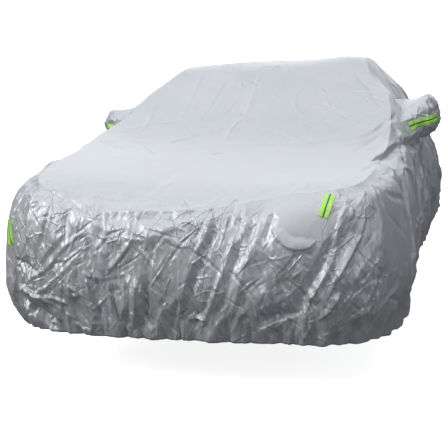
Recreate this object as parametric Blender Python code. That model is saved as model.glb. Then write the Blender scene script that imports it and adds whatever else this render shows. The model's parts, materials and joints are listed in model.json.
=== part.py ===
"""A fitted car cover of thin silvered cloth, hanging empty on its roof.

The cover is made of a top panel, a front panel, a rear panel and two side
panels, with a pocket for each door mirror and a reflective strip on each
pocket and on each front corner.  Metres, +Z up, the front faces -Y, +X is
the left side of the cover.  The origin is the underside of the roof, where
the cover is held up.
"""
import bpy
import bmesh
import numpy as np

for ob in list(bpy.data.objects):
    bpy.data.objects.remove(ob, do_unlink=True)

# ---------------------------------------------------------------- named sizes
SHEET = 0.002            # thickness of the cloth
GAP = 0.0003             # space between neighbouring pieces
STRIP_THICK = 0.001      # thickness of a reflective strip
STRIP_LONG = 0.125       # front strip, length and width
STRIP_WIDE = 0.058
MIRROR_STRIP_WIDE = 0.047
TOP_COLUMNS = 16         # cells across the top panel
FRONT_COLUMNS = 32       # cells across the front panel
SKIRT_ROWS = 12          # cells down every upright panel
SIDE_CELLS = (2, 2, 3, 3, 4, 3, 4, 4, 3, 2, 2)   # cells in each span between two hoops
POCKET_COLUMNS = (7.0, 8.0)    # place of the mirror opening along the hoops
POCKET_ROWS = (1, 3)            # and down the rows

# Stations around the cover, from the middle of the front, along the left
# side, to the middle of the rear.  Five heights: the edge of the top panel,
# the shoulder under it, the widest line, the lower line and the hem.
HOOPS = [
 # name             edge                   upper                  wide                   low                    hem
 ("front_centre", (0.000,-0.705,0.835),(0.000,-0.775,0.760),(0.000,-0.800,0.600),(0.000,-0.790,0.430),(0.000,-0.725,0.255)),
 ("front_mid",    (0.350,-0.690,0.860),(0.365,-0.760,0.780),(0.375,-0.785,0.600),(0.375,-0.770,0.430),(0.360,-0.705,0.253)),
 ("lamp",         (0.620,-0.645,0.905),(0.660,-0.715,0.825),(0.680,-0.735,0.620),(0.680,-0.720,0.435),(0.640,-0.650,0.248)),
 ("front_corner", (0.760,-0.545,0.945),(0.840,-0.590,0.865),(0.885,-0.605,0.640),(0.885,-0.585,0.440),(0.825,-0.515,0.243)),
 ("fender_front", (0.800,-0.300,0.985),(0.905,-0.320,0.905),(0.965,-0.330,0.660),(0.965,-0.320,0.455),(0.900,-0.280,0.238)),
 ("front_wheel",  (0.800, 0.050,1.020),(0.910, 0.050,0.935),(0.965, 0.050,0.680),(0.965, 0.050,0.465),(0.910, 0.050,0.235)),
 ("cowl",         (0.785, 0.480,1.070),(0.890, 0.480,0.965),(0.945, 0.480,0.710),(0.945, 0.480,0.490),(0.890, 0.480,0.300)),
 ("mirror",       (0.725, 0.860,1.185),(0.850, 0.860,1.010),(0.930, 0.860,0.740),(0.930, 0.860,0.510),(0.880, 0.860,0.350)),
 ("pillar",       (0.635, 1.200,1.330),(0.795, 1.200,1.090),(0.920, 1.200,0.770),(0.920, 1.200,0.530),(0.875, 1.200,0.365)),
 ("roof_front",   (0.550, 1.560,1.462),(0.745, 1.560,1.170),(0.910, 1.560,0.800),(0.910, 1.560,0.530),(0.870, 1.560,0.350)),
 ("roof_mid",     (0.540, 2.150,1.445),(0.735, 2.150,1.170),(0.900, 2.150,0.810),(0.905, 2.150,0.530),(0.865, 2.150,0.330)),
 ("rear_wheel",   (0.535, 2.750,1.395),(0.730, 2.750,1.150),(0.900, 2.750,0.810),(0.905, 2.750,0.530),(0.865, 2.750,0.345)),
 ("roof_rear",    (0.555, 3.150,1.310),(0.730, 3.150,1.090),(0.885, 3.150,0.795),(0.890, 3.150,0.530),(0.850, 3.150,0.325)),
 ("tail_side",    (0.600, 3.450,1.140),(0.715, 3.475,0.990),(0.835, 3.490,0.770),(0.840, 3.480,0.510),(0.790, 3.425,0.290)),
 ("rear_corner",  (0.560, 3.610,1.010),(0.640, 3.660,0.900),(0.705, 3.685,0.730),(0.710, 3.675,0.495),(0.670, 3.615,0.270)),
 ("rear_mid",     (0.310, 3.680,0.985),(0.325, 3.740,0.885),(0.340, 3.770,0.715),(0.340, 3.760,0.485),(0.330, 3.695,0.262)),
 ("rear_centre",  (0.000, 3.700,0.980),(0.000, 3.760,0.880),(0.000, 3.790,0.710),(0.000, 3.780,0.480),(0.000, 3.712,0.262)),
]

# Middle line of the top panel at the side stations.
CROWN = [
 ("front_corner", -0.705,0.835),
 ("fender_front", -0.430,0.930),
 ("front_wheel",  -0.030,0.995),
 ("cowl",          0.480,1.065),
 ("mirror",        0.870,1.200),
 ("pillar",        1.210,1.360),
 ("roof_front", 1.580,1.482),
 ("roof_mid", 2.180,1.505),
 ("rear_wheel", 2.780,1.475),
 ("roof_rear", 3.190,1.398),
 ("tail_side",     3.500,1.215),
 ("rear_corner",   3.700,0.980),
]

# Slack of the cloth: soft swellings, with the centre, the radius and the shift.
SWELLS = [
 # name                     x      y      z     radius   dx     dy     dz
 ("roof_corner_raised",    0.54,  1.62,  1.46,  0.24, -0.022, 0.000, 0.052),
 ("roof_corner_plain",    -0.56,  1.62,  1.46,  0.26,  0.005, 0.000, 0.004),
 ("roof_side_left",        0.75,  1.92,  1.24,  0.25,  0.072, 0.000, 0.008),
 ("roof_side_right",      -0.62,  1.40,  1.42,  0.26, -0.055, 0.000, 0.004),
 ("lamp_slope",            0.45, -0.70,  0.86,  0.22,  0.000, 0.060, 0.035),
 ("hood_edge_dip",        -0.35, -0.72,  0.85,  0.25,  0.000,-0.010,-0.010),
 ("tent_at_left_mirror",   0.80,  1.14,  1.16,  0.17,  0.085, 0.000, 0.030),
 ("tent_at_right_mirror", -0.80,  1.14,  1.16,  0.17, -0.070, 0.000, 0.020),
 ("tent_before_left",      0.84,  0.80,  1.08,  0.20,  0.030, 0.000, 0.030),
 ("tent_before_right",    -0.84,  0.80,  1.08,  0.20, -0.025, 0.000, 0.020),
 ("fender_top_right",     -0.82,  0.46,  1.08,  0.18, -0.034, 0.000, 0.020),
 ("lamp_bulge",            0.50, -0.73,  0.80,  0.10, -0.004,-0.016, 0.006),
 ("right_corner_slack",   -0.93, -0.54,  0.74,  0.12, -0.020, 0.000, 0.000),
 ("right_hem_flare",      -0.86, -0.50,  0.26,  0.13, -0.044, 0.000, 0.000),
 ("right_hood_raise",     -0.80,  0.00,  1.00,  0.40,  0.000, 0.000, 0.022),
 ("quarter_taut_left",     0.92,  3.05,  0.72,  0.30, -0.026, 0.000, 0.000),
 ("quarter_slack_right",  -0.90,  2.60,  0.55,  0.40, -0.012, 0.000, 0.000),
]

# Main folds: half width, height (minus is a trough) and the line it follows.
FOLDS = [
    # name              half w. height  path of the crest or trough (x, y, z)
    ("long_dark_a",    0.030, -0.022, (0.19, -0.70, 0.83), (0.13, -0.78, 0.70), (0.09, -0.80, 0.58), (0.01, -0.77, 0.37)),
    ("long_light_a",   0.022,  0.018, (0.15, -0.68, 0.85), (0.10, -0.78, 0.70), (0.04, -0.80, 0.55), (-0.04, -0.75, 0.33)),
    ("long_dark_b",    0.025, -0.018, (0.30, -0.74, 0.76), (0.26, -0.77, 0.62), (0.21, -0.78, 0.46), (0.14, -0.74, 0.30)),
    ("long_light_b",   0.022,  0.015, (0.26, -0.73, 0.79), (0.22, -0.78, 0.63), (0.17, -0.79, 0.50), (0.10, -0.76, 0.33)),
    ("low_dark_c",     0.020, -0.015, (0.17, -0.79, 0.53), (0.12, -0.79, 0.43), (0.05, -0.74, 0.29)),
    ("long_light_c",   0.024,  0.014, (0.35, -0.73, 0.76), (0.31, -0.77, 0.63), (0.26, -0.78, 0.46), (0.21, -0.73, 0.30)),
    ("high_dark_d",    0.020, -0.012, (0.23, -0.60, 0.89), (0.23, -0.71, 0.83), (0.21, -0.75, 0.75)),
    ("high_light_d",   0.020,  0.010, (0.27, -0.61, 0.89), (0.29, -0.73, 0.80), (0.28, -0.75, 0.72)),
    ("high_dark_e",    0.020, -0.012, (0.36, -0.65, 0.88), (0.34, -0.73, 0.79), (0.31, -0.75, 0.70)),
    ("lamp_notch",     0.022, -0.014, (0.42, -0.70, 0.85), (0.40, -0.73, 0.78), (0.38, -0.75, 0.70)),
    ("sliver",         0.018,  0.018, (0.43, -0.74, 0.72), (0.52, -0.74, 0.69), (0.63, -0.73, 0.63)),
    ("under_sliver",   0.020, -0.014, (0.43, -0.74, 0.69), (0.53, -0.74, 0.63), (0.61, -0.74, 0.58)),
    ("deep_long",      0.028, -0.026, (0.70, -0.69, 0.79), (0.65, -0.73, 0.63), (0.57, -0.75, 0.49), (0.53, -0.72, 0.35)),
    ("bright_long",    0.018,  0.018, (0.71, -0.52, 0.95), (0.71, -0.67, 0.83), (0.65, -0.72, 0.63), (0.57, -0.74, 0.43)),
    ("bright_outer",   0.016,  0.018, (0.81, -0.61, 0.87), (0.80, -0.66, 0.75), (0.71, -0.71, 0.58), (0.57, -0.70, 0.32)),
    ("between_dark",   0.022, -0.012, (0.77, -0.65, 0.83), (0.73, -0.69, 0.72), (0.68, -0.72, 0.60), (0.62, -0.74, 0.48)),
    ("panel_line",     0.014,  0.008, (0.77, -0.37, 0.98), (0.86, -0.54, 0.89), (0.92, -0.46, 0.78), (0.97, -0.28, 0.67)),
    ("corner_dark",    0.020, -0.012, (0.91, -0.57, 0.61), (0.87, -0.62, 0.52), (0.82, -0.63, 0.38)),
    ("corner_light",   0.020,  0.014, (0.95, -0.45, 0.49), (0.89, -0.56, 0.42), (0.80, -0.61, 0.34)),
    ("low_hollow",     0.035, -0.030, (0.36, -0.74, 0.34), (0.44, -0.75, 0.39), (0.54, -0.74, 0.40)),
    ("curved_low",     0.016,  0.012, (0.44, -0.75, 0.62), (0.46, -0.76, 0.50), (0.53, -0.73, 0.37)),
    ("left_deep",      0.028, -0.024, (-0.44, -0.78, 0.71), (-0.42, -0.79, 0.55), (-0.40, -0.76, 0.41), (-0.39, -0.70, 0.25)),
    ("left_deep_2",    0.018, -0.015, (-0.35, -0.79, 0.52), (-0.35, -0.76, 0.38), (-0.35, -0.71, 0.25)),
    ("left_plane",     0.022,  0.012, (-0.38, -0.78, 0.72), (-0.37, -0.79, 0.62), (-0.35, -0.79, 0.54)),
    ("left_crease",    0.014,  0.012, (-0.21, -0.79, 0.72), (-0.27, -0.80, 0.64), (-0.35, -0.79, 0.54)),
    ("mid_dark_f",     0.018, -0.015, (-0.22, -0.80, 0.55), (-0.24, -0.78, 0.42), (-0.28, -0.72, 0.27)),
    ("mid_light_f",    0.018,  0.014, (-0.20, -0.80, 0.55), (-0.21, -0.79, 0.43), (-0.23, -0.73, 0.29)),
    ("mid_dark_g",     0.015, -0.015, (-0.17, -0.79, 0.45), (-0.18, -0.76, 0.35), (-0.19, -0.72, 0.27)),
    ("mid_dark_h",     0.020, -0.012, (-0.09, -0.78, 0.74), (-0.13, -0.80, 0.62), (-0.15, -0.79, 0.45), (-0.18, -0.75, 0.32)),
    ("mid_light_h",    0.018,  0.010, (-0.06, -0.79, 0.45), (-0.10, -0.77, 0.36), (-0.15, -0.73, 0.28)),
    ("mid_dark_i",     0.015, -0.014, (0.00, -0.80, 0.46), (-0.03, -0.77, 0.36), (-0.06, -0.73, 0.28)),
    ("upper_line",     0.012, -0.008, (0.16, -0.59, 0.89), (0.12, -0.71, 0.82), (0.09, -0.77, 0.76), (0.06, -0.78, 0.71)),
    ("star_a",         0.014,  0.008, (-0.49, -0.68, 0.87), (-0.42, -0.74, 0.82), (-0.37, -0.77, 0.77), (-0.32, -0.78, 0.75)),
    ("star_b",         0.014,  0.008, (-0.41, -0.79, 0.65), (-0.35, -0.78, 0.72), (-0.30, -0.76, 0.80)),
    ("star_c",         0.012,  0.008, (-0.26, -0.79, 0.73), (-0.20, -0.79, 0.72), (-0.17, -0.79, 0.72)),
    ("star_d",         0.012,  0.008, (-0.07, -0.78, 0.74), (-0.01, -0.79, 0.70), (0.06, -0.79, 0.69)),
    ("left_dark_j",    0.025, -0.012, (-0.58, -0.71, 0.85), (-0.52, -0.77, 0.73), (-0.49, -0.78, 0.61)),
    ("left_line_k",    0.018, -0.012, (-0.63, -0.66, 0.89), (-0.65, -0.74, 0.77), (-0.70, -0.73, 0.63)),
    ("left_dark_l",    0.025, -0.020, (-0.85, -0.65, 0.59), (-0.77, -0.70, 0.57), (-0.70, -0.73, 0.54)),
    ("left_dark_m",    0.022, -0.018, (-0.86, -0.65, 0.54), (-0.86, -0.62, 0.43), (-0.86, -0.57, 0.33)),
    ("left_bright",    0.016,  0.020, (-0.76, -0.69, 0.42), (-0.64, -0.73, 0.42), (-0.55, -0.74, 0.39)),
    ("left_hollow",    0.035, -0.030, (-0.81, -0.63, 0.36), (-0.72, -0.65, 0.30), (-0.62, -0.66, 0.26)),
    ("left_low",       0.014,  0.012, (-0.55, -0.70, 0.31), (-0.49, -0.70, 0.28), (-0.43, -0.70, 0.27)),
    ("diag_n",         0.016,  0.012, (-0.45, -0.78, 0.67), (-0.57, -0.77, 0.55), (-0.68, -0.73, 0.46), (-0.76, -0.68, 0.41)),
    ("diag_o",         0.014,  0.010, (-0.44, -0.77, 0.76), (-0.56, -0.77, 0.66), (-0.67, -0.74, 0.55), (-0.78, -0.69, 0.48)),
    ("cowl_dark",      0.030, -0.026, (0.64, 0.24, 1.03), (0.71, 0.49, 1.08), (0.77, 0.74, 1.17)),
    ("fender_dark",    0.030, -0.026, (0.74, -0.27, 0.99), (0.80, -0.05, 1.01), (0.84, 0.44, 1.03)),
    ("fender_light",   0.030,  0.018, (0.74, -0.04, 1.01), (0.80, 0.24, 1.04), (0.83, 0.58, 1.07)),
    ("fender_low",     0.020, -0.012, (0.86, -0.45, 0.92), (0.91, -0.33, 0.88), (0.94, -0.03, 0.83)),
    ("fender_v",       0.018,  0.012, (0.90, -0.10, 0.94), (0.90, 0.27, 0.96), (0.92, 0.49, 0.89)),
    ("cowl_left_d",    0.020, -0.012, (-0.77, 0.33, 1.06), (-0.58, 0.18, 1.04), (-0.41, 0.08, 1.02)),
    ("cowl_left_l",    0.020,  0.012, (-0.76, 0.50, 1.09), (-0.65, 0.66, 1.13), (-0.52, 0.78, 1.17)),
    ("cowl_mid",       0.050, -0.012, (-0.38, 0.18, 1.03), (-0.05, 0.38, 1.05), (0.33, 0.42, 1.05), (0.61, 0.32, 1.04)),
    ("screen_a",       0.030,  0.007, (-0.03, 1.30, 1.40), (-0.10, 0.86, 1.20), (-0.10, 0.29, 1.04)),
    ("screen_b",       0.022, -0.006, (0.20, 0.80, 1.17), (0.12, 0.63, 1.11), (0.06, 0.41, 1.05)),
    ("screen_c",       0.016, -0.005, (0.41, 1.25, 1.39), (0.51, 1.16, 1.34)),
    ("screen_d",       0.016,  0.005, (0.56, 1.21, 1.36), (0.64, 1.09, 1.31)),
    ("pillar_dark",    0.026, -0.018, (0.49, 1.36, 1.44), (0.61, 1.14, 1.33), (0.72, 0.89, 1.22)),
    ("pillar_light",   0.020,  0.012, (0.55, 1.40, 1.47), (0.66, 1.21, 1.36), (0.77, 1.01, 1.25)),
    ("hood_a",         0.030,  0.006, (0.40, -0.48, 0.95), (0.50, -0.62, 0.91), (0.58, -0.65, 0.89)),
    ("hood_b",         0.040, -0.006, (-0.16, -0.19, 0.98), (-0.21, -0.52, 0.91), (-0.31, -0.67, 0.86)),
    ("side_pull_a",    0.045, -0.026, (0.89, 1.17, 1.09), (0.92, 1.13, 0.86), (0.93, 1.06, 0.63)),
    ("side_pull_b",    0.040,  0.020, (0.86, 1.23, 1.13), (0.91, 1.30, 0.85), (0.92, 1.33, 0.58)),
    ("side_pleat_a",   0.040, -0.024, (0.91, 0.71, 0.97), (0.94, 0.68, 0.68), (0.91, 0.64, 0.39)),
    ("side_pleat_b",   0.035,  0.018, (0.91, 0.90, 0.96), (0.94, 0.86, 0.64), (0.89, 0.82, 0.38)),
    ("side_pleat_c",   0.045, -0.022, (0.78, 1.51, 1.15), (0.92, 1.47, 0.74), (0.89, 1.40, 0.41)),
    ("side_pleat_d",   0.040,  0.018, (0.78, 1.72, 1.12), (0.92, 1.72, 0.68), (0.88, 1.66, 0.38)),
    ("side_pleat_e",   0.050, -0.024, (0.72, 2.03, 1.21), (0.90, 2.09, 0.81), (0.88, 1.97, 0.39)),
    ("side_pleat_f",   0.040,  0.016, (0.77, 2.27, 1.10), (0.92, 2.34, 0.69), (0.88, 2.40, 0.37)),
    ("side_pleat_g",   0.045, -0.020, (0.77, 2.52, 1.10), (0.92, 2.58, 0.75), (0.89, 2.70, 0.41)),
    ("side_pleat_h",   0.040,  0.018, (0.79, 2.84, 1.05), (0.92, 2.80, 0.69), (0.88, 2.89, 0.38)),
    ("side_pleat_i",   0.045, -0.022, (0.73, 3.04, 1.11), (0.91, 3.08, 0.74), (0.88, 3.15, 0.40)),
    ("side_pleat_j",   0.040,  0.018, (0.76, 3.29, 1.00), (0.90, 3.26, 0.68), (0.86, 3.22, 0.36)),
    ("side_pleat_k",   0.040, -0.020, (0.72, 3.45, 1.00), (0.86, 3.43, 0.72), (0.83, 3.37, 0.36)),
    ("side_front_a",   0.035, -0.018, (0.93, -0.22, 0.88), (0.98, -0.19, 0.60), (0.94, -0.06, 0.32)),
    ("side_front_b",   0.035,  0.016, (0.93, 0.01, 0.89), (0.97, 0.05, 0.61), (0.93, 0.09, 0.31)),
    ("side_front_c",   0.035, -0.018, (0.91, 0.31, 0.93), (0.96, 0.31, 0.65), (0.93, 0.26, 0.35)),
    ("side_diag_a",    0.030,  0.012, (0.64, 1.56, 1.40), (0.72, 2.03, 1.21), (0.77, 2.52, 1.10)),
    ("side_diag_b",    0.030, -0.012, (0.64, 2.75, 1.28), (0.72, 3.01, 1.15), (0.80, 3.22, 0.96)),
    ("other_pull_a",   0.045, -0.024, (-0.88, 1.17, 1.07), (-0.92, 1.17, 0.83), (-0.92, 1.27, 0.57)),
    ("other_pull_b",   0.040,  0.020, (-0.88, 1.06, 1.08), (-0.92, 0.96, 0.81), (-0.94, 0.86, 0.55)),
    ("other_pleat_a",  0.045, -0.022, (-0.91, 0.64, 0.95), (-0.95, 0.60, 0.68), (-0.91, 0.71, 0.40)),
    ("other_pleat_b",  0.035,  0.016, (-0.92, 0.44, 0.91), (-0.96, 0.40, 0.62), (-0.90, 0.44, 0.34)),
    ("other_pleat_c",  0.045, -0.022, (-0.78, 1.47, 1.13), (-0.92, 1.56, 0.74), (-0.88, 1.51, 0.40)),
    ("other_pleat_d",  0.040,  0.018, (-0.78, 1.78, 1.11), (-0.92, 1.84, 0.69), (-0.88, 1.72, 0.38)),
    ("other_pleat_e",  0.050, -0.024, (-0.72, 2.09, 1.20), (-0.91, 2.15, 0.81), (-0.89, 2.21, 0.39)),
    ("other_pleat_f",  0.040,  0.016, (-0.77, 2.46, 1.10), (-0.93, 2.46, 0.69), (-0.88, 2.40, 0.37)),
    ("other_pleat_g",  0.045, -0.022, (-0.77, 2.75, 1.09), (-0.92, 2.70, 0.75), (-0.90, 2.64, 0.41)),
    ("other_pleat_h",  0.040,  0.016, (-0.79, 2.97, 1.03), (-0.92, 2.93, 0.69), (-0.88, 2.97, 0.38)),
    ("other_pleat_i",  0.045, -0.022, (-0.73, 3.19, 1.08), (-0.90, 3.15, 0.74), (-0.88, 3.11, 0.41)),
    ("other_pleat_j",  0.040,  0.018, (-0.75, 3.39, 0.98), (-0.88, 3.37, 0.68), (-0.82, 3.39, 0.34)),
    ("other_front_a",  0.035, -0.018, (-0.93, -0.18, 0.90), (-0.98, -0.15, 0.62), (-0.94, -0.20, 0.33)),
    ("other_front_b",  0.035,  0.016, (-0.92, 0.09, 0.92), (-0.97, 0.13, 0.63), (-0.92, 0.17, 0.32)),
    ("rear_a",         0.035, -0.022, (0.48, 3.69, 0.93), (0.50, 3.75, 0.72), (0.41, 3.71, 0.33)),
    ("rear_b",         0.030,  0.018, (0.32, 3.71, 0.94), (0.31, 3.77, 0.71), (0.27, 3.72, 0.33)),
    ("rear_c",         0.035, -0.020, (0.16, 3.74, 0.92), (0.14, 3.79, 0.67), (0.13, 3.74, 0.35)),
    ("rear_d",         0.030,  0.016, (0.03, 3.73, 0.94), (0.02, 3.79, 0.71), (0.03, 3.73, 0.33)),
    ("rear_e",         0.035, -0.022, (-0.10, 3.74, 0.92), (-0.13, 3.79, 0.71), (-0.10, 3.73, 0.33)),
    ("rear_f",         0.030,  0.018, (-0.26, 3.72, 0.94), (-0.27, 3.78, 0.71), (-0.23, 3.73, 0.35)),
    ("rear_g",         0.035, -0.022, (-0.42, 3.71, 0.92), (-0.46, 3.75, 0.68), (-0.37, 3.71, 0.33)),
    ("rear_h",         0.030,  0.016, (-0.55, 3.65, 0.96), (-0.65, 3.71, 0.73), (-0.59, 3.67, 0.33)),
    ("rear_corner_a",  0.035, -0.020, (0.66, 3.59, 0.97), (0.78, 3.62, 0.74), (0.75, 3.60, 0.36)),
    ("rear_corner_b",  0.035, -0.020, (-0.67, 3.57, 0.98), (-0.79, 3.60, 0.75), (-0.78, 3.54, 0.37)),
    ("roof_wave_a",    0.070,  0.006, (-0.43, 1.91, 1.48), (-0.05, 2.12, 1.51), (0.33, 1.99, 1.51)),
    ("roof_wave_b",    0.060, -0.006, (-0.38, 2.48, 1.47), (0.05, 2.37, 1.50), (0.43, 2.54, 1.45)),
    ("roof_wave_c",    0.060,  0.006, (-0.32, 2.82, 1.45), (0.11, 2.92, 1.46), (0.43, 2.76, 1.43)),
    ("back_crease_a",  0.035,  0.010, (-0.33, 3.07, 1.41), (-0.18, 3.39, 1.29), (-0.13, 3.59, 1.12)),
    ("back_crease_b",  0.035, -0.010, (0.27, 3.11, 1.41), (0.21, 3.39, 1.29), (0.06, 3.57, 1.15)),
    ("back_crease_c",  0.030,  0.010, (0.45, 3.24, 1.32), (0.33, 3.46, 1.22), (0.32, 3.61, 1.07)),
    ("back_dip",       0.050, -0.012, (-0.48, 3.50, 1.15), (0.00, 3.50, 1.22), (0.48, 3.50, 1.15)),
    ("hood_wave",      0.060,  0.006, (-0.41, -0.27, 0.98), (-0.16, 0.07, 1.01), (-0.24, 0.43, 1.06)),
]

# Mirror pockets: sections from the body outwards.  The top stands higher on
# the left pocket, which is pulled up.
POCKETS = {
    # x      y      z      half depth  half height
    "left": [
        (0.928, 1.078, 1.181, 0.124, 0.121),
        (0.968, 1.080, 1.190, 0.115, 0.108),
        (1.000, 1.084, 1.186, 0.090, 0.079),
        (1.015, 1.086, 1.183, 0.046, 0.039),
    ],
    "right": [
        (0.918, 1.076, 1.130, 0.117, 0.088),
        (0.952, 1.080, 1.135, 0.105, 0.077),
        (0.978, 1.084, 1.138, 0.080, 0.056),
        (0.990, 1.086, 1.140, 0.040, 0.028),
    ],
}
POCKET_TIP = 0.006       # how far the end of a pocket bulges past its last section

# Reflective strips: the middle, the long axis, the side from which it is laid on.
STRIPS = [
    # name                 middle                   long axis               laid on along            length       width
    ("front_strip_left",  (0.647, -0.666, 0.877), (0.021, 0.085, 0.096), (-0.11, 0.78, -0.61), 0.128, 0.048),
    ("front_strip_right", (-0.872, -0.612, 0.708), (-0.014, 0.045, 0.115), (0.76, 0.64, -0.12), STRIP_LONG, STRIP_WIDE),
    ("mirror_strip_left", (0.949, 0.936, 1.155), (0.120, 0.100, 0.038), (-0.60, 0.80, 0.00), 0.198, MIRROR_STRIP_WIDE),
    ("mirror_strip_right", (-0.925, 0.930, 1.104), (-0.120, 0.100, 0.014), (0.60, 0.80, 0.00), 0.130, MIRROR_STRIP_WIDE),
]
STRIP_CELLS = (7, 2)

# colour, metallic, roughness
MATERIALS = {
    "silver_cloth": ((0.50, 0.52, 0.55), 0.55, 0.42),
    "lime_strip": ((0.53, 0.87, 0.13), 0.00, 0.40),
}

# ------------------------------------------------------------- base surface
NAMES = [row[0] for row in HOOPS]
CORNER = NAMES.index("front_corner")
REAR = NAMES.index("rear_corner")
END = len(NAMES) - 1
HALF = np.array([row[1:] for row in HOOPS], float)
MIRRORED = HALF * np.array([-1.0, 1.0, 1.0])
LOOP = np.concatenate([MIRRORED[2:0:-1], HALF, MIRRORED[-2:-4:-1]])   # two rows of padding at each end
CROWN_LINE = np.array([[row[1], row[2]] for row in CROWN])
SWELL_TABLE = np.array([row[1:] for row in SWELLS])


def slopes(tab):
    m = np.empty_like(tab)
    m[1:-1] = (tab[2:] - tab[:-2]) / 2
    m[0] = tab[1] - tab[0]
    m[-1] = tab[-1] - tab[-2]
    return m


def through(tab, t):
    """Smooth curve through the rows of a table."""
    t = np.clip(np.asarray(t, float), 0, len(tab) - 1)
    i = np.clip(np.floor(t).astype(int), 0, len(tab) - 2)
    f = (t - i)[..., None]
    m = slopes(tab)
    return ((2*f**3 - 3*f**2 + 1) * tab[i] + (f**3 - 2*f**2 + f) * m[i]
            + (-2*f**3 + 3*f**2) * tab[i + 1] + (f**3 - f**2) * m[i + 1])


def skirt(t, s):
    """Upright cloth: t is the station (minus on the right side), s runs from the edge to the hem."""
    t, s = np.broadcast_arrays(np.asarray(t, float), np.asarray(s, float))
    rows = through(LOOP.reshape(len(LOOP), 15), np.abs(t) + 2).reshape(t.shape + (5, 3))
    m = np.empty_like(rows)
    m[..., 1:-1, :] = (rows[..., 2:, :] - rows[..., :-2, :]) / 2
    m[..., 0, :] = (rows[..., 1, :] - rows[..., 0, :]) * 1.1
    m[..., -1, :] = rows[..., -1, :] - rows[..., -2, :]
    i = np.clip(np.floor(s).astype(int), 0, 3)
    f = (s - i)[..., None]

    def at(a, j):
        return np.take_along_axis(a, np.broadcast_to(j[..., None, None], t.shape + (1, 3)), axis=-2)[..., 0, :]

    p = ((2*f**3 - 3*f**2 + 1) * at(rows, i) + (f**3 - 2*f**2 + f) * at(m, i)
         + (-2*f**3 + 3*f**2) * at(rows, i + 1) + (f**3 - f**2) * at(m, i + 1))
    p[..., 0] *= np.where(t < 0, -1.0, 1.0)
    return p


def arch(a, t):
    edge = skirt(t, np.zeros_like(t))
    mid = through(CROWN_LINE, t - CORNER)
    w = 1 - np.abs(a) ** 2.6
    return np.stack([edge[..., 0] * a, edge[..., 1] + (mid[..., 0] - edge[..., 1]) * w,
                     edge[..., 2] + (mid[..., 1] - edge[..., 2]) * w], -1)


def top(a, t):
    """Top panel: a runs across from -1 to 1, t is the side station."""
    a, t = np.broadcast_arrays(np.asarray(a, float), np.asarray(t, float))
    p = arch(a, t)
    front = skirt(CORNER * a, np.zeros_like(a))
    rear = skirt(np.where(a < 0, -1, 1) * (END - (END - REAR) * np.abs(a)), np.zeros_like(a))
    for t0, edge, span in ((CORNER, front, 1.6), (REAR, rear, 1.0)):
        f = np.clip(1 - np.abs(t - t0) / span, 0, 1)
        f = f * f * (3 - 2 * f)
        p = p + (edge - arch(a, np.full_like(a, float(t0)))) * f[..., None]
    return p


def outward(p):
    """Smooth outward direction, the same for every panel at a shared edge."""
    core = np.stack([np.clip(p[..., 0], -0.45, 0.45), np.clip(p[..., 1], -0.20, 3.20),
                     np.minimum(p[..., 2], 0.62 + 0.45 * np.exp(-((p[..., 1] - 2.2) / 1.1) ** 4))], -1)
    d = p - core
    return d / np.linalg.norm(d, axis=-1, keepdims=True)


def slack(p):
    q = np.array(p, float)
    for x, y, z, r, dx, dy, dz in SWELL_TABLE:
        w = np.exp(-((q[..., 0] - x) ** 2 + (q[..., 1] - y) ** 2 + (q[..., 2] - z) ** 2) / (2 * r * r))
        q = q + w[..., None] * np.array([dx, dy, dz])
    return q


def folds(p):
    """Height of the folds at each point: a soft crest or trough along each line."""
    h = np.zeros(p.shape[:-1])
    for row in FOLDS:
        half, height, line = row[1], row[2], np.array(row[3:], float)
        line = through(line, np.linspace(0, len(line) - 1, 4 * (len(line) - 1) + 1))
        n = len(line) - 1
        best = np.full(h.shape, 9.0)
        where = np.zeros(h.shape)
        for k in range(n):
            a, b = line[k], line[k + 1]
            d = b - a
            u = np.clip(((p - a) @ d) / (d @ d), 0, 1)
            e = np.linalg.norm(p - a - u[..., None] * d, axis=-1)
            closer = e < best
            best = np.where(closer, e, best)
            where = np.where(closer, (k + u) / n, where)
        fade = np.clip(np.minimum(where, 1 - where) * 5 + 0.25, 0, 1)
        h += height * fade * np.exp(-(best / half) ** 2)
    return h


def cloth(p):
    q = slack(p)
    return q + outward(q) * folds(q)[..., None]


# ---------------------------------------------------------------- piece tools
def grid_faces(rows, cols, skip=None):
    """Quads of a grid; skip is a box of cells (row0, row1, col0, col1) that is left open."""
    out = []
    for r in range(rows):
        for c in range(cols):
            if skip and skip[0] <= r < skip[1] and skip[2] <= c < skip[3]:
                continue
            i = r * (cols + 1) + c
            out.append((i, i + 1, i + cols + 2, i + cols + 1))
    return out


def drop_unused(v, faces):
    used = sorted({i for f in faces for i in f})
    new = {old: k for k, old in enumerate(used)}
    return v[used], [tuple(new[i] for i in f) for f in faces]


def split_quads(v, faces):
    """Cuts each quad along its shorter diagonal."""
    out = []
    for f in faces:
        if len(f) == 3:
            out.append(f)
            continue
        a, b, c, d = f
        if np.linalg.norm(v[a] - v[c]) <= np.linalg.norm(v[b] - v[d]):
            out += [(a, b, c), (a, c, d)]
        else:
            out += [(a, b, d), (b, c, d)]
    return out


def faced(v, tris, inner):
    """Turns the triangles so that they look away from the inner points."""
    t = np.array(tris)
    n = np.cross(v[t[:, 1]] - v[t[:, 0]], v[t[:, 2]] - v[t[:, 0]])
    mid = v[t].mean(1)
    if ((mid - inner(mid)) * n).sum() < 0:
        t = t[:, ::-1]
    return [tuple(int(i) for i in f) for f in t]


def face_normals(v, tris):
    t = np.array(tris)
    return np.cross(v[t[:, 1]] - v[t[:, 0]], v[t[:, 2]] - v[t[:, 0]])


def vertex_normals(v, tris):
    n = np.zeros_like(v)
    fn = face_normals(v, tris)
    for k in range(3):
        np.add.at(n, np.array(tris)[:, k], fn)
    return n


def border_edges(tris):
    seen = {}
    for f in tris:
        for k in range(3):
            seen[(f[k], f[(k + 1) % 3])] = True
    return [e for e in seen if (e[1], e[0]) not in seen]


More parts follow.
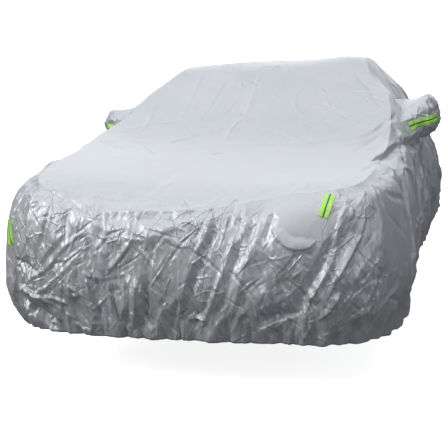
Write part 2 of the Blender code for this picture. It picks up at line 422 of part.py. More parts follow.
def pull_in(v, tris, shared):
    """Moves the border in by half of the gap, so that two pieces keep the whole gap."""
    own = vertex_normals(v, tris)
    own /= np.linalg.norm(own, axis=1, keepdims=True)
    sides = {}
    for a, b in border_edges(tris):
        d = (v[b] - v[a]) / np.linalg.norm(v[b] - v[a])
        for i in (a, b):
            sides.setdefault(i, []).append(np.cross(own[i], d))
    out = v.copy()
    for i, m in sides.items():
        m = [x / np.linalg.norm(x) for x in m]
        step = m[0] if len(m) == 1 else (m[0] + m[1]) / max(1 + m[0] @ m[1], 0.35)
        lean = max(float(own[i] @ shared[i]), 0.6)
        out[i] = v[i] + step * GAP / 2 / lean
    return out


def sheet_object(name, v, tris, into, material):
    """Closed thin solid: the outer face v, the inner face v + into, and the cut edges."""
    bm = bmesh.new()
    outer = [bm.verts.new(p) for p in v]
    inner = [bm.verts.new(p) for p in v + into]
    for a, b, c in tris:
        bm.faces.new((outer[a], outer[b], outer[c]))
        bm.faces.new((inner[c], inner[b], inner[a]))
    for a, b in border_edges(tris):
        k = int(np.argmax(np.abs(v[a] - v[b])))
        if v[a][k] < v[b][k]:              # the same diagonal on both sides of a shared border
            bm.faces.new((outer[b], outer[a], inner[b]))
            bm.faces.new((outer[a], inner[a], inner[b]))
        else:
            bm.faces.new((outer[b], outer[a], inner[a]))
            bm.faces.new((outer[b], inner[a], inner[b]))
    mesh = bpy.data.meshes.new(name)
    bm.to_mesh(mesh)
    bm.free()
    ob = bpy.data.objects.new(name, mesh)
    bpy.context.collection.objects.link(ob)
    ob.data.materials.append(material)
    return ob


def make_material(name):
    colour, metallic, roughness = MATERIALS[name]
    mat = bpy.data.materials.new(name)
    mat.use_nodes = True
    bsdf = mat.node_tree.nodes["Principled BSDF"]
    bsdf.inputs["Base Color"].default_value = (*colour, 1.0)
    bsdf.inputs["Metallic"].default_value = metallic
    bsdf.inputs["Roughness"].default_value = roughness
    mat.diffuse_color = (*colour, 1.0)
    return mat


# --------------------------------------------------------------------- pieces
def side_stations():
    out = [float(CORNER)]
    for k, n in enumerate(SIDE_CELLS):
        out += [CORNER + k + (j + 1) / n for j in range(n)]
    return np.array(out)


ALONG = side_stations()
DOWN = np.linspace(0, 4, SKIRT_ROWS + 1)
ACROSS = np.linspace(-1, 1, TOP_COLUMNS + 1)
POCKET_CELLS = tuple(int(np.argmin(np.abs(ALONG - t))) for t in POCKET_COLUMNS)


def inside(p):
    return p - outward(p)


def top_panel():
    a, t = np.meshgrid(ACROSS, ALONG)
    v = cloth(top(a, t)).reshape(-1, 3)
    return v, grid_faces(len(ALONG) - 1, TOP_COLUMNS)


def front_panel():
    t, s = np.meshgrid(np.linspace(-CORNER, CORNER, FRONT_COLUMNS + 1), DOWN)
    p = cloth(skirt(t, s))
    step = FRONT_COLUMNS // TOP_COLUMNS
    for k in range(FRONT_COLUMNS + 1):          # the upper edge follows the facets of the top panel
        if k % step:
            lo = k - k % step
            f = (k % step) / step
            p[0, k] = p[0, lo] * (1 - f) + p[0, lo + step] * f
    return p.reshape(-1, 3), grid_faces(SKIRT_ROWS, FRONT_COLUMNS)


def rear_panel():
    t, s = np.meshgrid(np.where(ACROSS < 0, -1, 1) * (END - (END - REAR) * np.abs(ACROSS)), DOWN)
    return cloth(skirt(t, s)).reshape(-1, 3), grid_faces(SKIRT_ROWS, TOP_COLUMNS)


def side_panel(sign):
    t, s = np.meshgrid(sign * ALONG, DOWN)
    cols = len(ALONG) - 1
    return cloth(skirt(t, s)).reshape(-1, 3), grid_faces(SKIRT_ROWS, cols, (*POCKET_ROWS, *POCKET_CELLS))


def opening_ring(sign):
    """Edge of the mirror opening, with a point halfway along each cell."""
    r0, r1 = POCKET_ROWS
    c0, c1 = POCKET_CELLS
    cells = ([(r0, c) for c in range(c0, c1)] + [(r, c1) for r in range(r0, r1)]
             + [(r1, c) for c in range(c1, c0, -1)] + [(r, c0) for r in range(r1, r0, -1)])
    p = np.array([cloth(skirt(sign * ALONG[c], DOWN[r])) for r, c in cells])
    ring = np.empty((2 * len(p), 3))
    ring[0::2] = p
    ring[1::2] = (p + np.roll(p, -1, 0)) / 2
    return ring


def pocket(sign, sections):
    ring = opening_ring(sign)
    mid = ring.mean(0)
    across, up = ring[:, 1] - mid[1], ring[:, 2] - mid[2]
    turn = np.arctan2(up / np.abs(up).max(), across / np.abs(across).max())
    rings = [ring]
    c, s = np.cos(turn), np.sin(turn)
    for x, y, z, depth, height in sections:
        k = (np.abs(c) ** 2.6 + np.abs(s) ** 2.6) ** (-1 / 2.6)
        rings.append(np.stack([np.full_like(c, sign * x), y + depth * k * c, z + height * k * s], -1))
    n = len(ring)
    tip = rings[-1].mean(0) + np.array([sign * POCKET_TIP, 0, 0])
    v = np.concatenate(rings + [tip[None]])
    faces = []
    for r in range(len(rings) - 1):
        for k in range(n):
            j = (k + 1) % n
            faces.append((r * n + k, r * n + j, (r + 1) * n + j, (r + 1) * n + k))
    last = (len(rings) - 1) * n
    faces += [(last + k, last + (k + 1) % n, len(v) - 1) for k in range(n)]
    spine_start, spine_end = mid, np.array([sign * (sections[-1][0] - 0.02), sections[-1][1], sections[-1][2]])

    def core(p):
        d = spine_end - spine_start
        u = np.clip(((p - spine_start) @ d) / (d @ d), 0, 1)
        return spine_start + u[..., None] * d

    return v, faces, core


def ray_height(origin, d, tri):
    """Distance along d from each origin to the nearest triangle."""
    a, e1, e2 = tri[:, 0], tri[:, 1] - tri[:, 0], tri[:, 2] - tri[:, 0]
    h = np.cross(d, e2)
    det = (e1 * h).sum(1)
    ok = np.abs(det) > 1e-12
    inv = np.where(ok, 1 / np.where(ok, det, 1), 0)
    best = np.full(len(origin), np.inf)
    for k, o in enumerate(origin):
        s = o - a
        u = (s * h).sum(1) * inv
        q = np.cross(s, e1)
        w = (q @ d) * inv
        dist = (q * e2).sum(1) * inv
        hit = ok & (u > -1e-9) & (w > -1e-9) & (u + w < 1 + 1e-9)
        if hit.any():
            best[k] = dist[hit].min()
    return best


def strip(middle, long_axis, lay, length, width, hosts):
    """Strip laid on the facets of its hosts: its lower face keeps clear of them by the gap."""
    lay = np.array(lay) / np.linalg.norm(lay)
    e1 = np.array(long_axis, float)
    e1 -= lay * (e1 @ lay)
    e1 /= np.linalg.norm(e1)
    e2 = np.cross(lay, e1)
    rows, cols = STRIP_CELLS[1], STRIP_CELLS[0]
    start = np.array(middle) - lay * 0.10

    def lattice(nr, nc):
        v, u = np.meshgrid(np.linspace(-0.5, 0.5, nr + 1), np.linspace(-0.5, 0.5, nc + 1), indexing="ij")
        return start + u[..., None] * e1 * length + v[..., None] * e2 * width

    coarse = lattice(rows, cols)
    tri = np.concatenate(hosts)
    near = np.linalg.norm(tri.mean(1) - np.array(middle), axis=1) < length + 0.12
    tri = tri[near]
    drop = ray_height(coarse.reshape(-1, 3), lay, tri).reshape(rows + 1, cols + 1)
    m = 6
    fine = ray_height(lattice(rows * m, cols * m).reshape(-1, 3), lay, tri).reshape(rows * m + 1, cols * m + 1)
    clear = GAP * 1.35
    for _ in range(6):                     # lift the strip wherever a facet's edge comes up under it
        for r in range(rows):
            for c in range(cols):
                f, g = np.meshgrid(np.linspace(0, 1, m + 1), np.linspace(0, 1, m + 1), indexing="ij")
                flat = [drop[r, c] * (1 - f) * (1 - g) + drop[r + 1, c] * f * (1 - g)
                        + drop[r, c + 1] * (1 - f) * g + drop[r + 1, c + 1] * f * g]
                for way in (0, 1):         # either diagonal of the cell
                    if way:
                        tri_h = np.where(f >= g, drop[r, c] + (drop[r + 1, c] - drop[r, c]) * f + (drop[r + 1, c + 1] - drop[r + 1, c]) * g,
                                         drop[r, c] + (drop[r, c + 1] - drop[r, c]) * g + (drop[r + 1, c + 1] - drop[r, c + 1]) * f)
                    else:
                        tri_h = np.where(f + g <= 1, drop[r, c] + (drop[r + 1, c] - drop[r, c]) * f + (drop[r, c + 1] - drop[r, c]) * g,
                                         drop[r + 1, c + 1] + (drop[r, c + 1] - drop[r + 1, c + 1]) * (1 - f) + (drop[r + 1, c] - drop[r + 1, c + 1]) * (1 - g))
                    flat.append(tri_h)
                need = max(float((h - fine[r * m:(r + 1) * m + 1, c * m:(c + 1) * m + 1]).max()) for h in flat) + clear
                if need > 0:
                    drop[r:r + 2, c:c + 2] -= need
    lower = coarse + drop[..., None] * lay
    upper = lower - lay * STRIP_THICK
    v = upper.reshape(-1, 3)
    tris = split_quads(v, grid_faces(rows, cols))
    tris = faced(v, tris, lambda p: p + lay)
    return v, tris, np.broadcast_to(lay * STRIP_THICK, v.shape)


# ------------------------------------------------------------------- assembly
materials = {name: make_material(name) for name in MATERIALS}

raw = {
    "top_panel": (*top_panel(), inside),
    "front_panel": (*front_panel(), inside),
    "rear_panel": (*rear_panel(), inside),
    "side_panel_left": (*side_panel(1), inside),
    "side_panel_right": (*side_panel(-1), inside),
    "mirror_pocket_left": pocket(1, POCKETS["left"]),
    "mirror_pocket_right": pocket(-1, POCKETS["right"]),
}
pieces = {}
for name, (v, faces, core) in raw.items():
    v, faces = drop_unused(v, faces)
    pieces[name] = (v, faced(v, split_quads(v, faces), core))

# One normal for each place that pieces share, so that their cut edges are parallel.
places = {}
for name, (v, tris) in pieces.items():
    for p, n in zip(v, vertex_normals(v, tris)):
        key = tuple(np.round(p, 6))
        places[key] = places.get(key, 0) + n


def shared_normals(v):
    n = np.array([places[tuple(np.round(p, 6))] for p in v])
    return n / np.linalg.norm(n, axis=1, keepdims=True)


into = {}
for name, (v, tris) in pieces.items():
    shared = shared_normals(v)
    own = vertex_normals(v, tris)
    own /= np.linalg.norm(own, axis=1, keepdims=True)
    lean = np.clip((own * shared).sum(1), 0.75, 1.0)
    into[name] = -shared * SHEET / lean[:, None]

# The cut edges of a shared border take the same offset on both sides.
meet = {}
for name, (v, tris) in pieces.items():
    for p, d in zip(v, into[name]):
        meet.setdefault(tuple(np.round(p, 6)), []).append(d)
for name, (v, tris) in pieces.items():
    into[name] = np.array([np.mean(meet[tuple(np.round(p, 6))], axis=0) for p in v])

# Halfway points that lie on a longer facet of the neighbour follow that facet.
step = FRONT_COLUMNS // TOP_COLUMNS
d = into["front_panel"]
for k in range(FRONT_COLUMNS + 1):
    if k % step:
        lo = k - k % step
        f = (k % step) / step
        d[k] = d[lo] * (1 - f) + d[lo + step] * f
for name in ("mirror_pocket_left", "mirror_pocket_right"):
    d = into[name]
    n = 2 * 2 * (POCKET_ROWS[1] - POCKET_ROWS[0] + POCKET_CELLS[1] - POCKET_CELLS[0])
    for k in range(1, n, 2):
        d[k] = (d[k - 1] + d[(k + 1) % n]) / 2

final = {}
for name, (v, tris) in pieces.items():
    final[name] = (pull_in(v, tris, shared_normals(v)), tris, into[name], "silver_cloth")

hosts = [final[n][0][np.array(final[n][1])] for n in ("front_panel", "top_panel", "side_panel_left", "side_panel_right")]
for name, middle, axis, lay, length, width in STRIPS:
    under = hosts if name.startswith("front") else [final[name.replace("strip", "pocket")][0][np.array(final[name.replace("strip", "pocket")][1])]]
    final[name] = (*strip(middle, axis, lay, length, width, under), "lime_strip")

# The held point is the underside of the roof on the middle line.
roof_row = int(np.argmin(np.abs(ALONG - NAMES.index("roof_mid"))))
k = roof_row * (TOP_COLUMNS + 1) + TOP_COLUMNS // 2
held = final["top_panel"][0][k] + final["top_panel"][2][k]

for name, (v, tris, d, material) in final.items():
    sheet_object(name, v - held, tris, d, materials[material])
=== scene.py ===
import json
import bpy
import numpy as np
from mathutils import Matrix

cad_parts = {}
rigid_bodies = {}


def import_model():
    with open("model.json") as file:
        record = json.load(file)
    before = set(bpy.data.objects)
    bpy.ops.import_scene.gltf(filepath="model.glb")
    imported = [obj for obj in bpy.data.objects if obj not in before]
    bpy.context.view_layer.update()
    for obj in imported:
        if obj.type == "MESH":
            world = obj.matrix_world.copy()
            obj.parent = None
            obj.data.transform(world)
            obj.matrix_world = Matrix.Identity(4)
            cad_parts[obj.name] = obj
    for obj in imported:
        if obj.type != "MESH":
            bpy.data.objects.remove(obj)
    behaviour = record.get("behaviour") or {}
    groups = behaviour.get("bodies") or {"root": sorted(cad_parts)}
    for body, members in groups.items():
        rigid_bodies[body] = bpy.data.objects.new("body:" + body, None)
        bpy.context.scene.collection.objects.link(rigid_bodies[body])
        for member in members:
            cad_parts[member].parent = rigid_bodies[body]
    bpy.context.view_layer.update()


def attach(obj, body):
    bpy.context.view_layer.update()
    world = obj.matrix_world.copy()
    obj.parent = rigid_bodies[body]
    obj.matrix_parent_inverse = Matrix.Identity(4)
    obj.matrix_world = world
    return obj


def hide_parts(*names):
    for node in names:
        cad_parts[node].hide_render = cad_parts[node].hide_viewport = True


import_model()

# A fitted car cover of thin silvered cloth.  The tables are in metres over the
# ground and from the front axle; HELD takes them into the frame of the part.
HELD = np.array([0.0001, 2.1799, 1.5059])

HOOPS = [
 # name             edge                   upper                  wide                   low                    hem
 ("front_centre", (0.000,-0.705,0.835),(0.000,-0.775,0.760),(0.000,-0.800,0.600),(0.000,-0.790,0.430),(0.000,-0.725,0.255)),
 ("front_mid",    (0.350,-0.690,0.860),(0.365,-0.760,0.780),(0.375,-0.785,0.600),(0.375,-0.770,0.430),(0.360,-0.705,0.253)),
 ("lamp",         (0.620,-0.645,0.905),(0.660,-0.715,0.825),(0.680,-0.735,0.620),(0.680,-0.720,0.435),(0.640,-0.650,0.248)),
 ("front_corner", (0.760,-0.545,0.945),(0.840,-0.590,0.865),(0.885,-0.605,0.640),(0.885,-0.585,0.440),(0.825,-0.515,0.243)),
 ("fender_front", (0.800,-0.300,0.985),(0.905,-0.320,0.905),(0.965,-0.330,0.660),(0.965,-0.320,0.455),(0.900,-0.280,0.238)),
 ("front_wheel",  (0.800, 0.050,1.020),(0.910, 0.050,0.935),(0.965, 0.050,0.680),(0.965, 0.050,0.465),(0.910, 0.050,0.235)),
 ("cowl",         (0.785, 0.480,1.070),(0.890, 0.480,0.965),(0.945, 0.480,0.710),(0.945, 0.480,0.490),(0.890, 0.480,0.300)),
 ("mirror",       (0.725, 0.860,1.185),(0.850, 0.860,1.010),(0.930, 0.860,0.740),(0.930, 0.860,0.510),(0.880, 0.860,0.350)),
 ("pillar",       (0.635, 1.200,1.330),(0.795, 1.200,1.090),(0.920, 1.200,0.770),(0.920, 1.200,0.530),(0.875, 1.200,0.365)),
 ("roof_front",   (0.550, 1.560,1.462),(0.745, 1.560,1.170),(0.910, 1.560,0.800),(0.910, 1.560,0.530),(0.870, 1.560,0.350)),
 ("roof_mid",     (0.540, 2.150,1.445),(0.735, 2.150,1.170),(0.900, 2.150,0.810),(0.905, 2.150,0.530),(0.865, 2.150,0.330)),
 ("rear_wheel",   (0.535, 2.750,1.395),(0.730, 2.750,1.150),(0.900, 2.750,0.810),(0.905, 2.750,0.530),(0.865, 2.750,0.345)),
 ("roof_rear",    (0.555, 3.150,1.310),(0.730, 3.150,1.090),(0.885, 3.150,0.795),(0.890, 3.150,0.530),(0.850, 3.150,0.325)),
 ("tail_side",    (0.600, 3.450,1.140),(0.715, 3.475,0.990),(0.835, 3.490,0.770),(0.840, 3.480,0.510),(0.790, 3.425,0.290)),
 ("rear_corner",  (0.560, 3.610,1.010),(0.640, 3.660,0.900),(0.705, 3.685,0.730),(0.710, 3.675,0.495),(0.670, 3.615,0.270)),
 ("rear_mid",     (0.310, 3.680,0.985),(0.325, 3.740,0.885),(0.340, 3.770,0.715),(0.340, 3.760,0.485),(0.330, 3.695,0.262)),
 ("rear_centre",  (0.000, 3.700,0.980),(0.000, 3.760,0.880),(0.000, 3.790,0.710),(0.000, 3.780,0.480),(0.000, 3.712,0.262)),
]

CROWN = [
 ("front_corner", -0.705,0.835),
 ("fender_front", -0.430,0.930),
 ("front_wheel",  -0.030,0.995),
 ("cowl",          0.480,1.065),
 ("mirror",        0.870,1.200),
 ("pillar",        1.210,1.360),
 ("roof_front", 1.580,1.482),
 ("roof_mid", 2.180,1.505),
 ("rear_wheel", 2.780,1.475),
 ("roof_rear", 3.190,1.398),
 ("tail_side",     3.500,1.215),
 ("rear_corner",   3.700,0.980),
]

SWELLS = [
 # name                     x      y      z     radius   dx     dy     dz
 ("roof_corner_raised",    0.54,  1.62,  1.46,  0.24, -0.022, 0.000, 0.052),
 ("roof_corner_plain",    -0.56,  1.62,  1.46,  0.26,  0.005, 0.000, 0.004),
 ("roof_side_left",        0.75,  1.92,  1.24,  0.25,  0.072, 0.000, 0.008),
 ("roof_side_right",      -0.62,  1.40,  1.42,  0.26, -0.055, 0.000, 0.004),
 ("lamp_slope",            0.45, -0.70,  0.86,  0.22,  0.000, 0.060, 0.035),
 ("hood_edge_dip",        -0.35, -0.72,  0.85,  0.25,  0.000,-0.010,-0.010),
 ("tent_at_left_mirror",   0.80,  1.14,  1.16,  0.17,  0.085, 0.000, 0.030),
 ("tent_at_right_mirror", -0.80,  1.14,  1.16,  0.17, -0.070, 0.000, 0.020),
 ("tent_before_left",      0.84,  0.80,  1.08,  0.20,  0.030, 0.000, 0.030),
 ("tent_before_right",    -0.84,  0.80,  1.08,  0.20, -0.025, 0.000, 0.020),
 ("fender_top_right",     -0.82,  0.46,  1.08,  0.18, -0.034, 0.000, 0.020),
 ("lamp_bulge",            0.50, -0.73,  0.80,  0.10, -0.004,-0.016, 0.006),
 ("lamp_foot",             0.52, -0.74,  0.69,  0.12,  0.000,-0.032, 0.000),
 ("right_corner_slack",   -0.93, -0.54,  0.74,  0.12, -0.020, 0.000, 0.000),
 ("right_hem_flare",      -0.86, -0.50,  0.26,  0.13, -0.044, 0.000, 0.000),
 ("right_hood_raise",     -0.80,  0.00,  1.00,  0.40,  0.000, 0.000, 0.022),
 ("quarter_taut_left",     0.92,  3.05,  0.72,  0.30, -0.026, 0.000, 0.000),
 ("quarter_slack_right",  -0.90,  2.60,  0.55,  0.40, -0.012, 0.000, 0.000),
]

FOLDS = [
    # name              half w. height  path of the crest or trough (x, y, z)
    ("long_dark_a",    0.030, -0.022, (0.19, -0.70, 0.83), (0.13, -0.78, 0.70), (0.09, -0.80, 0.58), (0.01, -0.77, 0.37)),
    ("long_light_a",   0.022,  0.018, (0.15, -0.68, 0.85), (0.10, -0.78, 0.70), (0.04, -0.80, 0.55), (-0.04, -0.75, 0.33)),
    ("long_dark_b",    0.025, -0.018, (0.30, -0.74, 0.76), (0.26, -0.77, 0.62), (0.21, -0.78, 0.46), (0.14, -0.74, 0.30)),
    ("long_light_b",   0.022,  0.015, (0.26, -0.73, 0.79), (0.22, -0.78, 0.63), (0.17, -0.79, 0.50), (0.10, -0.76, 0.33)),
    ("low_dark_c",     0.020, -0.015, (0.17, -0.79, 0.53), (0.12, -0.79, 0.43), (0.05, -0.74, 0.29)),
    ("long_light_c",   0.024,  0.014, (0.35, -0.73, 0.76), (0.31, -0.77, 0.63), (0.26, -0.78, 0.46), (0.21, -0.73, 0.30)),
    ("high_dark_d",    0.020, -0.012, (0.23, -0.60, 0.89), (0.23, -0.71, 0.83), (0.21, -0.75, 0.75)),
    ("high_light_d",   0.020,  0.010, (0.27, -0.61, 0.89), (0.29, -0.73, 0.80), (0.28, -0.75, 0.72)),
    ("high_dark_e",    0.020, -0.012, (0.36, -0.65, 0.88), (0.34, -0.73, 0.79), (0.31, -0.75, 0.70)),
    ("lamp_notch",     0.022, -0.014, (0.42, -0.70, 0.85), (0.40, -0.73, 0.78), (0.38, -0.75, 0.70)),
    ("sliver",         0.018,  0.018, (0.43, -0.74, 0.72), (0.52, -0.74, 0.69), (0.63, -0.73, 0.63)),
    ("under_sliver",   0.020, -0.014, (0.43, -0.74, 0.69), (0.53, -0.74, 0.63), (0.61, -0.74, 0.58)),
    ("deep_long",      0.028, -0.026, (0.70, -0.69, 0.79), (0.65, -0.73, 0.63), (0.57, -0.75, 0.49), (0.53, -0.72, 0.35)),
    ("bright_long",    0.018,  0.018, (0.71, -0.52, 0.95), (0.71, -0.67, 0.83), (0.65, -0.72, 0.63), (0.57, -0.74, 0.43)),
    ("bright_outer",   0.016,  0.018, (0.81, -0.61, 0.87), (0.80, -0.66, 0.75), (0.71, -0.71, 0.58), (0.57, -0.70, 0.32)),
    ("between_dark",   0.022, -0.012, (0.77, -0.65, 0.83), (0.73, -0.69, 0.72), (0.68, -0.72, 0.60), (0.62, -0.74, 0.48)),
    ("panel_line",     0.014,  0.008, (0.77, -0.37, 0.98), (0.86, -0.54, 0.89), (0.92, -0.46, 0.78), (0.97, -0.28, 0.67)),
    ("corner_dark",    0.020, -0.012, (0.91, -0.57, 0.61), (0.87, -0.62, 0.52), (0.82, -0.63, 0.38)),
    ("corner_light",   0.020,  0.014, (0.95, -0.45, 0.49), (0.89, -0.56, 0.42), (0.80, -0.61, 0.34)),
    ("low_hollow",     0.035, -0.030, (0.36, -0.74, 0.34), (0.44, -0.75, 0.39), (0.54, -0.74, 0.40)),
    ("curved_low",     0.016,  0.012, (0.44, -0.75, 0.62), (0.46, -0.76, 0.50), (0.53, -0.73, 0.37)),
    ("left_deep",      0.028, -0.024, (-0.44, -0.78, 0.71), (-0.42, -0.79, 0.55), (-0.40, -0.76, 0.41), (-0.39, -0.70, 0.25)),
    ("left_deep_2",    0.018, -0.015, (-0.35, -0.79, 0.52), (-0.35, -0.76, 0.38), (-0.35, -0.71, 0.25)),
    ("left_plane",     0.022,  0.012, (-0.38, -0.78, 0.72), (-0.37, -0.79, 0.62), (-0.35, -0.79, 0.54)),
    ("left_crease",    0.014,  0.012, (-0.21, -0.79, 0.72), (-0.27, -0.80, 0.64), (-0.35, -0.79, 0.54)),
    ("mid_dark_f",     0.018, -0.015, (-0.22, -0.80, 0.55), (-0.24, -0.78, 0.42), (-0.28, -0.72, 0.27)),
    ("mid_light_f",    0.018,  0.014, (-0.20, -0.80, 0.55), (-0.21, -0.79, 0.43), (-0.23, -0.73, 0.29)),
    ("mid_dark_g",     0.015, -0.015, (-0.17, -0.79, 0.45), (-0.18, -0.76, 0.35), (-0.19, -0.72, 0.27)),
    ("mid_dark_h",     0.020, -0.012, (-0.09, -0.78, 0.74), (-0.13, -0.80, 0.62), (-0.15, -0.79, 0.45), (-0.18, -0.75, 0.32)),
    ("mid_light_h",    0.018,  0.010, (-0.06, -0.79, 0.45), (-0.10, -0.77, 0.36), (-0.15, -0.73, 0.28)),
    ("mid_dark_i",     0.015, -0.014, (0.00, -0.80, 0.46), (-0.03, -0.77, 0.36), (-0.06, -0.73, 0.28)),
    ("upper_line",     0.012, -0.008, (0.16, -0.59, 0.89), (0.12, -0.71, 0.82), (0.09, -0.77, 0.76), (0.06, -0.78, 0.71)),
    ("star_a",         0.014,  0.008, (-0.49, -0.68, 0.87), (-0.42, -0.74, 0.82), (-0.37, -0.77, 0.77), (-0.32, -0.78, 0.75)),
    ("star_b",         0.014,  0.008, (-0.41, -0.79, 0.65), (-0.35, -0.78, 0.72), (-0.30, -0.76, 0.80)),
    ("star_c",         0.012,  0.008, (-0.26, -0.79, 0.73), (-0.20, -0.79, 0.72), (-0.17, -0.79, 0.72)),
    ("star_d",         0.012,  0.008, (-0.07, -0.78, 0.74), (-0.01, -0.79, 0.70), (0.06, -0.79, 0.69)),
    ("left_dark_j",    0.025, -0.012, (-0.58, -0.71, 0.85), (-0.52, -0.77, 0.73), (-0.49, -0.78, 0.61)),
    ("left_line_k",    0.018, -0.012, (-0.63, -0.66, 0.89), (-0.65, -0.74, 0.77), (-0.70, -0.73, 0.63)),
    ("left_dark_l",    0.025, -0.020, (-0.85, -0.65, 0.59), (-0.77, -0.70, 0.57), (-0.70, -0.73, 0.54)),
    ("left_dark_m",    0.022, -0.018, (-0.86, -0.65, 0.54), (-0.86, -0.62, 0.43), (-0.86, -0.57, 0.33)),
    ("left_bright",    0.016,  0.020, (-0.76, -0.69, 0.42), (-0.64, -0.73, 0.42), (-0.55, -0.74, 0.39)),
    ("left_hollow",    0.035, -0.030, (-0.81, -0.63, 0.36), (-0.72, -0.65, 0.30), (-0.62, -0.66, 0.26)),
    ("left_low",       0.014,  0.012, (-0.55, -0.70, 0.31), (-0.49, -0.70, 0.28), (-0.43, -0.70, 0.27)),
    ("diag_n",         0.016,  0.012, (-0.45, -0.78, 0.67), (-0.57, -0.77, 0.55), (-0.68, -0.73, 0.46), (-0.76, -0.68, 0.41)),
    ("diag_o",         0.014,  0.010, (-0.44, -0.77, 0.76), (-0.56, -0.77, 0.66), (-0.67, -0.74, 0.55), (-0.78, -0.69, 0.48)),
    ("cowl_dark",      0.030, -0.026, (0.64, 0.24, 1.03), (0.71, 0.49, 1.08), (0.77, 0.74, 1.17)),
    ("fender_dark",    0.030, -0.026, (0.74, -0.27, 0.99), (0.80, -0.05, 1.01), (0.84, 0.44, 1.03)),
    ("fender_light",   0.030,  0.018, (0.74, -0.04, 1.01), (0.80, 0.24, 1.04), (0.83, 0.58, 1.07)),
    ("fender_low",     0.020, -0.012, (0.86, -0.45, 0.92), (0.91, -0.33, 0.88), (0.94, -0.03, 0.83)),
    ("fender_v",       0.018,  0.012, (0.90, -0.10, 0.94), (0.90, 0.27, 0.96), (0.92, 0.49, 0.89)),
    ("cowl_left_d",    0.020, -0.012, (-0.77, 0.33, 1.06), (-0.58, 0.18, 1.04), (-0.41, 0.08, 1.02)),
    ("cowl_left_l",    0.020,  0.012, (-0.76, 0.50, 1.09), (-0.65, 0.66, 1.13), (-0.52, 0.78, 1.17)),
    ("cowl_mid",       0.050, -0.012, (-0.38, 0.18, 1.03), (-0.05, 0.38, 1.05), (0.33, 0.42, 1.05), (0.61, 0.32, 1.04)),
    ("screen_a",       0.030,  0.007, (-0.03, 1.30, 1.40), (-0.10, 0.86, 1.20), (-0.10, 0.29, 1.04)),
    ("screen_b",       0.022, -0.006, (0.20, 0.80, 1.17), (0.12, 0.63, 1.11), (0.06, 0.41, 1.05)),
    ("screen_c",       0.016, -0.005, (0.41, 1.25, 1.39), (0.51, 1.16, 1.34)),
    ("screen_d",       0.016,  0.005, (0.56, 1.21, 1.36), (0.64, 1.09, 1.31)),
    ("pillar_dark",    0.026, -0.018, (0.49, 1.36, 1.44), (0.61, 1.14, 1.33), (0.72, 0.89, 1.22)),
    ("pillar_light",   0.020,  0.012, (0.55, 1.40, 1.47), (0.66, 1.21, 1.36), (0.77, 1.01, 1.25)),
    ("hood_a",         0.030,  0.006, (0.40, -0.48, 0.95), (0.50, -0.62, 0.91), (0.58, -0.65, 0.89)),
    ("hood_b",         0.040, -0.006, (-0.16, -0.19, 0.98), (-0.21, -0.52, 0.91), (-0.31, -0.67, 0.86)),
    ("side_pull_a",    0.045, -0.026, (0.89, 1.17, 1.09), (0.92, 1.13, 0.86), (0.93, 1.06, 0.63)),
    ("side_pull_b",    0.040,  0.020, (0.86, 1.23, 1.13), (0.91, 1.30, 0.85), (0.92, 1.33, 0.58)),
    ("side_pleat_a",   0.040, -0.024, (0.91, 0.71, 0.97), (0.94, 0.68, 0.68), (0.91, 0.64, 0.39)),
    ("side_pleat_b",   0.035,  0.018, (0.91, 0.90, 0.96), (0.94, 0.86, 0.64), (0.89, 0.82, 0.38)),
    ("side_pleat_c",   0.045, -0.022, (0.78, 1.51, 1.15), (0.92, 1.47, 0.74), (0.89, 1.40, 0.41)),
    ("side_pleat_d",   0.040,  0.018, (0.78, 1.72, 1.12), (0.92, 1.72, 0.68), (0.88, 1.66, 0.38)),
    ("side_pleat_e",   0.050, -0.024, (0.72, 2.03, 1.21), (0.90, 2.09, 0.81), (0.88, 1.97, 0.39)),
    ("side_pleat_f",   0.040,  0.016, (0.77, 2.27, 1.10), (0.92, 2.34, 0.69), (0.88, 2.40, 0.37)),
    ("side_pleat_g",   0.045, -0.020, (0.77, 2.52, 1.10), (0.92, 2.58, 0.75), (0.89, 2.70, 0.41)),
    ("side_pleat_h",   0.040,  0.018, (0.79, 2.84, 1.05), (0.92, 2.80, 0.69), (0.88, 2.89, 0.38)),
    ("side_pleat_i",   0.045, -0.022, (0.73, 3.04, 1.11), (0.91, 3.08, 0.74), (0.88, 3.15, 0.40)),
    ("side_pleat_j",   0.040,  0.018, (0.76, 3.29, 1.00), (0.90, 3.26, 0.68), (0.86, 3.22, 0.36)),
    ("side_pleat_k",   0.040, -0.020, (0.72, 3.45, 1.00), (0.86, 3.43, 0.72), (0.83, 3.37, 0.36)),
    ("side_front_a",   0.035, -0.018, (0.93, -0.22, 0.88), (0.98, -0.19, 0.60), (0.94, -0.06, 0.32)),
    ("side_front_b",   0.035,  0.016, (0.93, 0.01, 0.89), (0.97, 0.05, 0.61), (0.93, 0.09, 0.31)),
    ("side_front_c",   0.035, -0.018, (0.91, 0.31, 0.93), (0.96, 0.31, 0.65), (0.93, 0.26, 0.35)),
    ("side_diag_a",    0.030,  0.012, (0.64, 1.56, 1.40), (0.72, 2.03, 1.21), (0.77, 2.52, 1.10)),
    ("side_diag_b",    0.030, -0.012, (0.64, 2.75, 1.28), (0.72, 3.01, 1.15), (0.80, 3.22, 0.96)),
    ("other_pull_a",   0.045, -0.024, (-0.88, 1.17, 1.07), (-0.92, 1.17, 0.83), (-0.92, 1.27, 0.57)),
    ("other_pull_b",   0.040,  0.020, (-0.88, 1.06, 1.08), (-0.92, 0.96, 0.81), (-0.94, 0.86, 0.55)),
    ("other_pleat_a",  0.045, -0.022, (-0.91, 0.64, 0.95), (-0.95, 0.60, 0.68), (-0.91, 0.71, 0.40)),
    ("other_pleat_b",  0.035,  0.016, (-0.92, 0.44, 0.91), (-0.96, 0.40, 0.62), (-0.90, 0.44, 0.34)),
    ("other_pleat_c",  0.045, -0.022, (-0.78, 1.47, 1.13), (-0.92, 1.56, 0.74), (-0.88, 1.51, 0.40)),
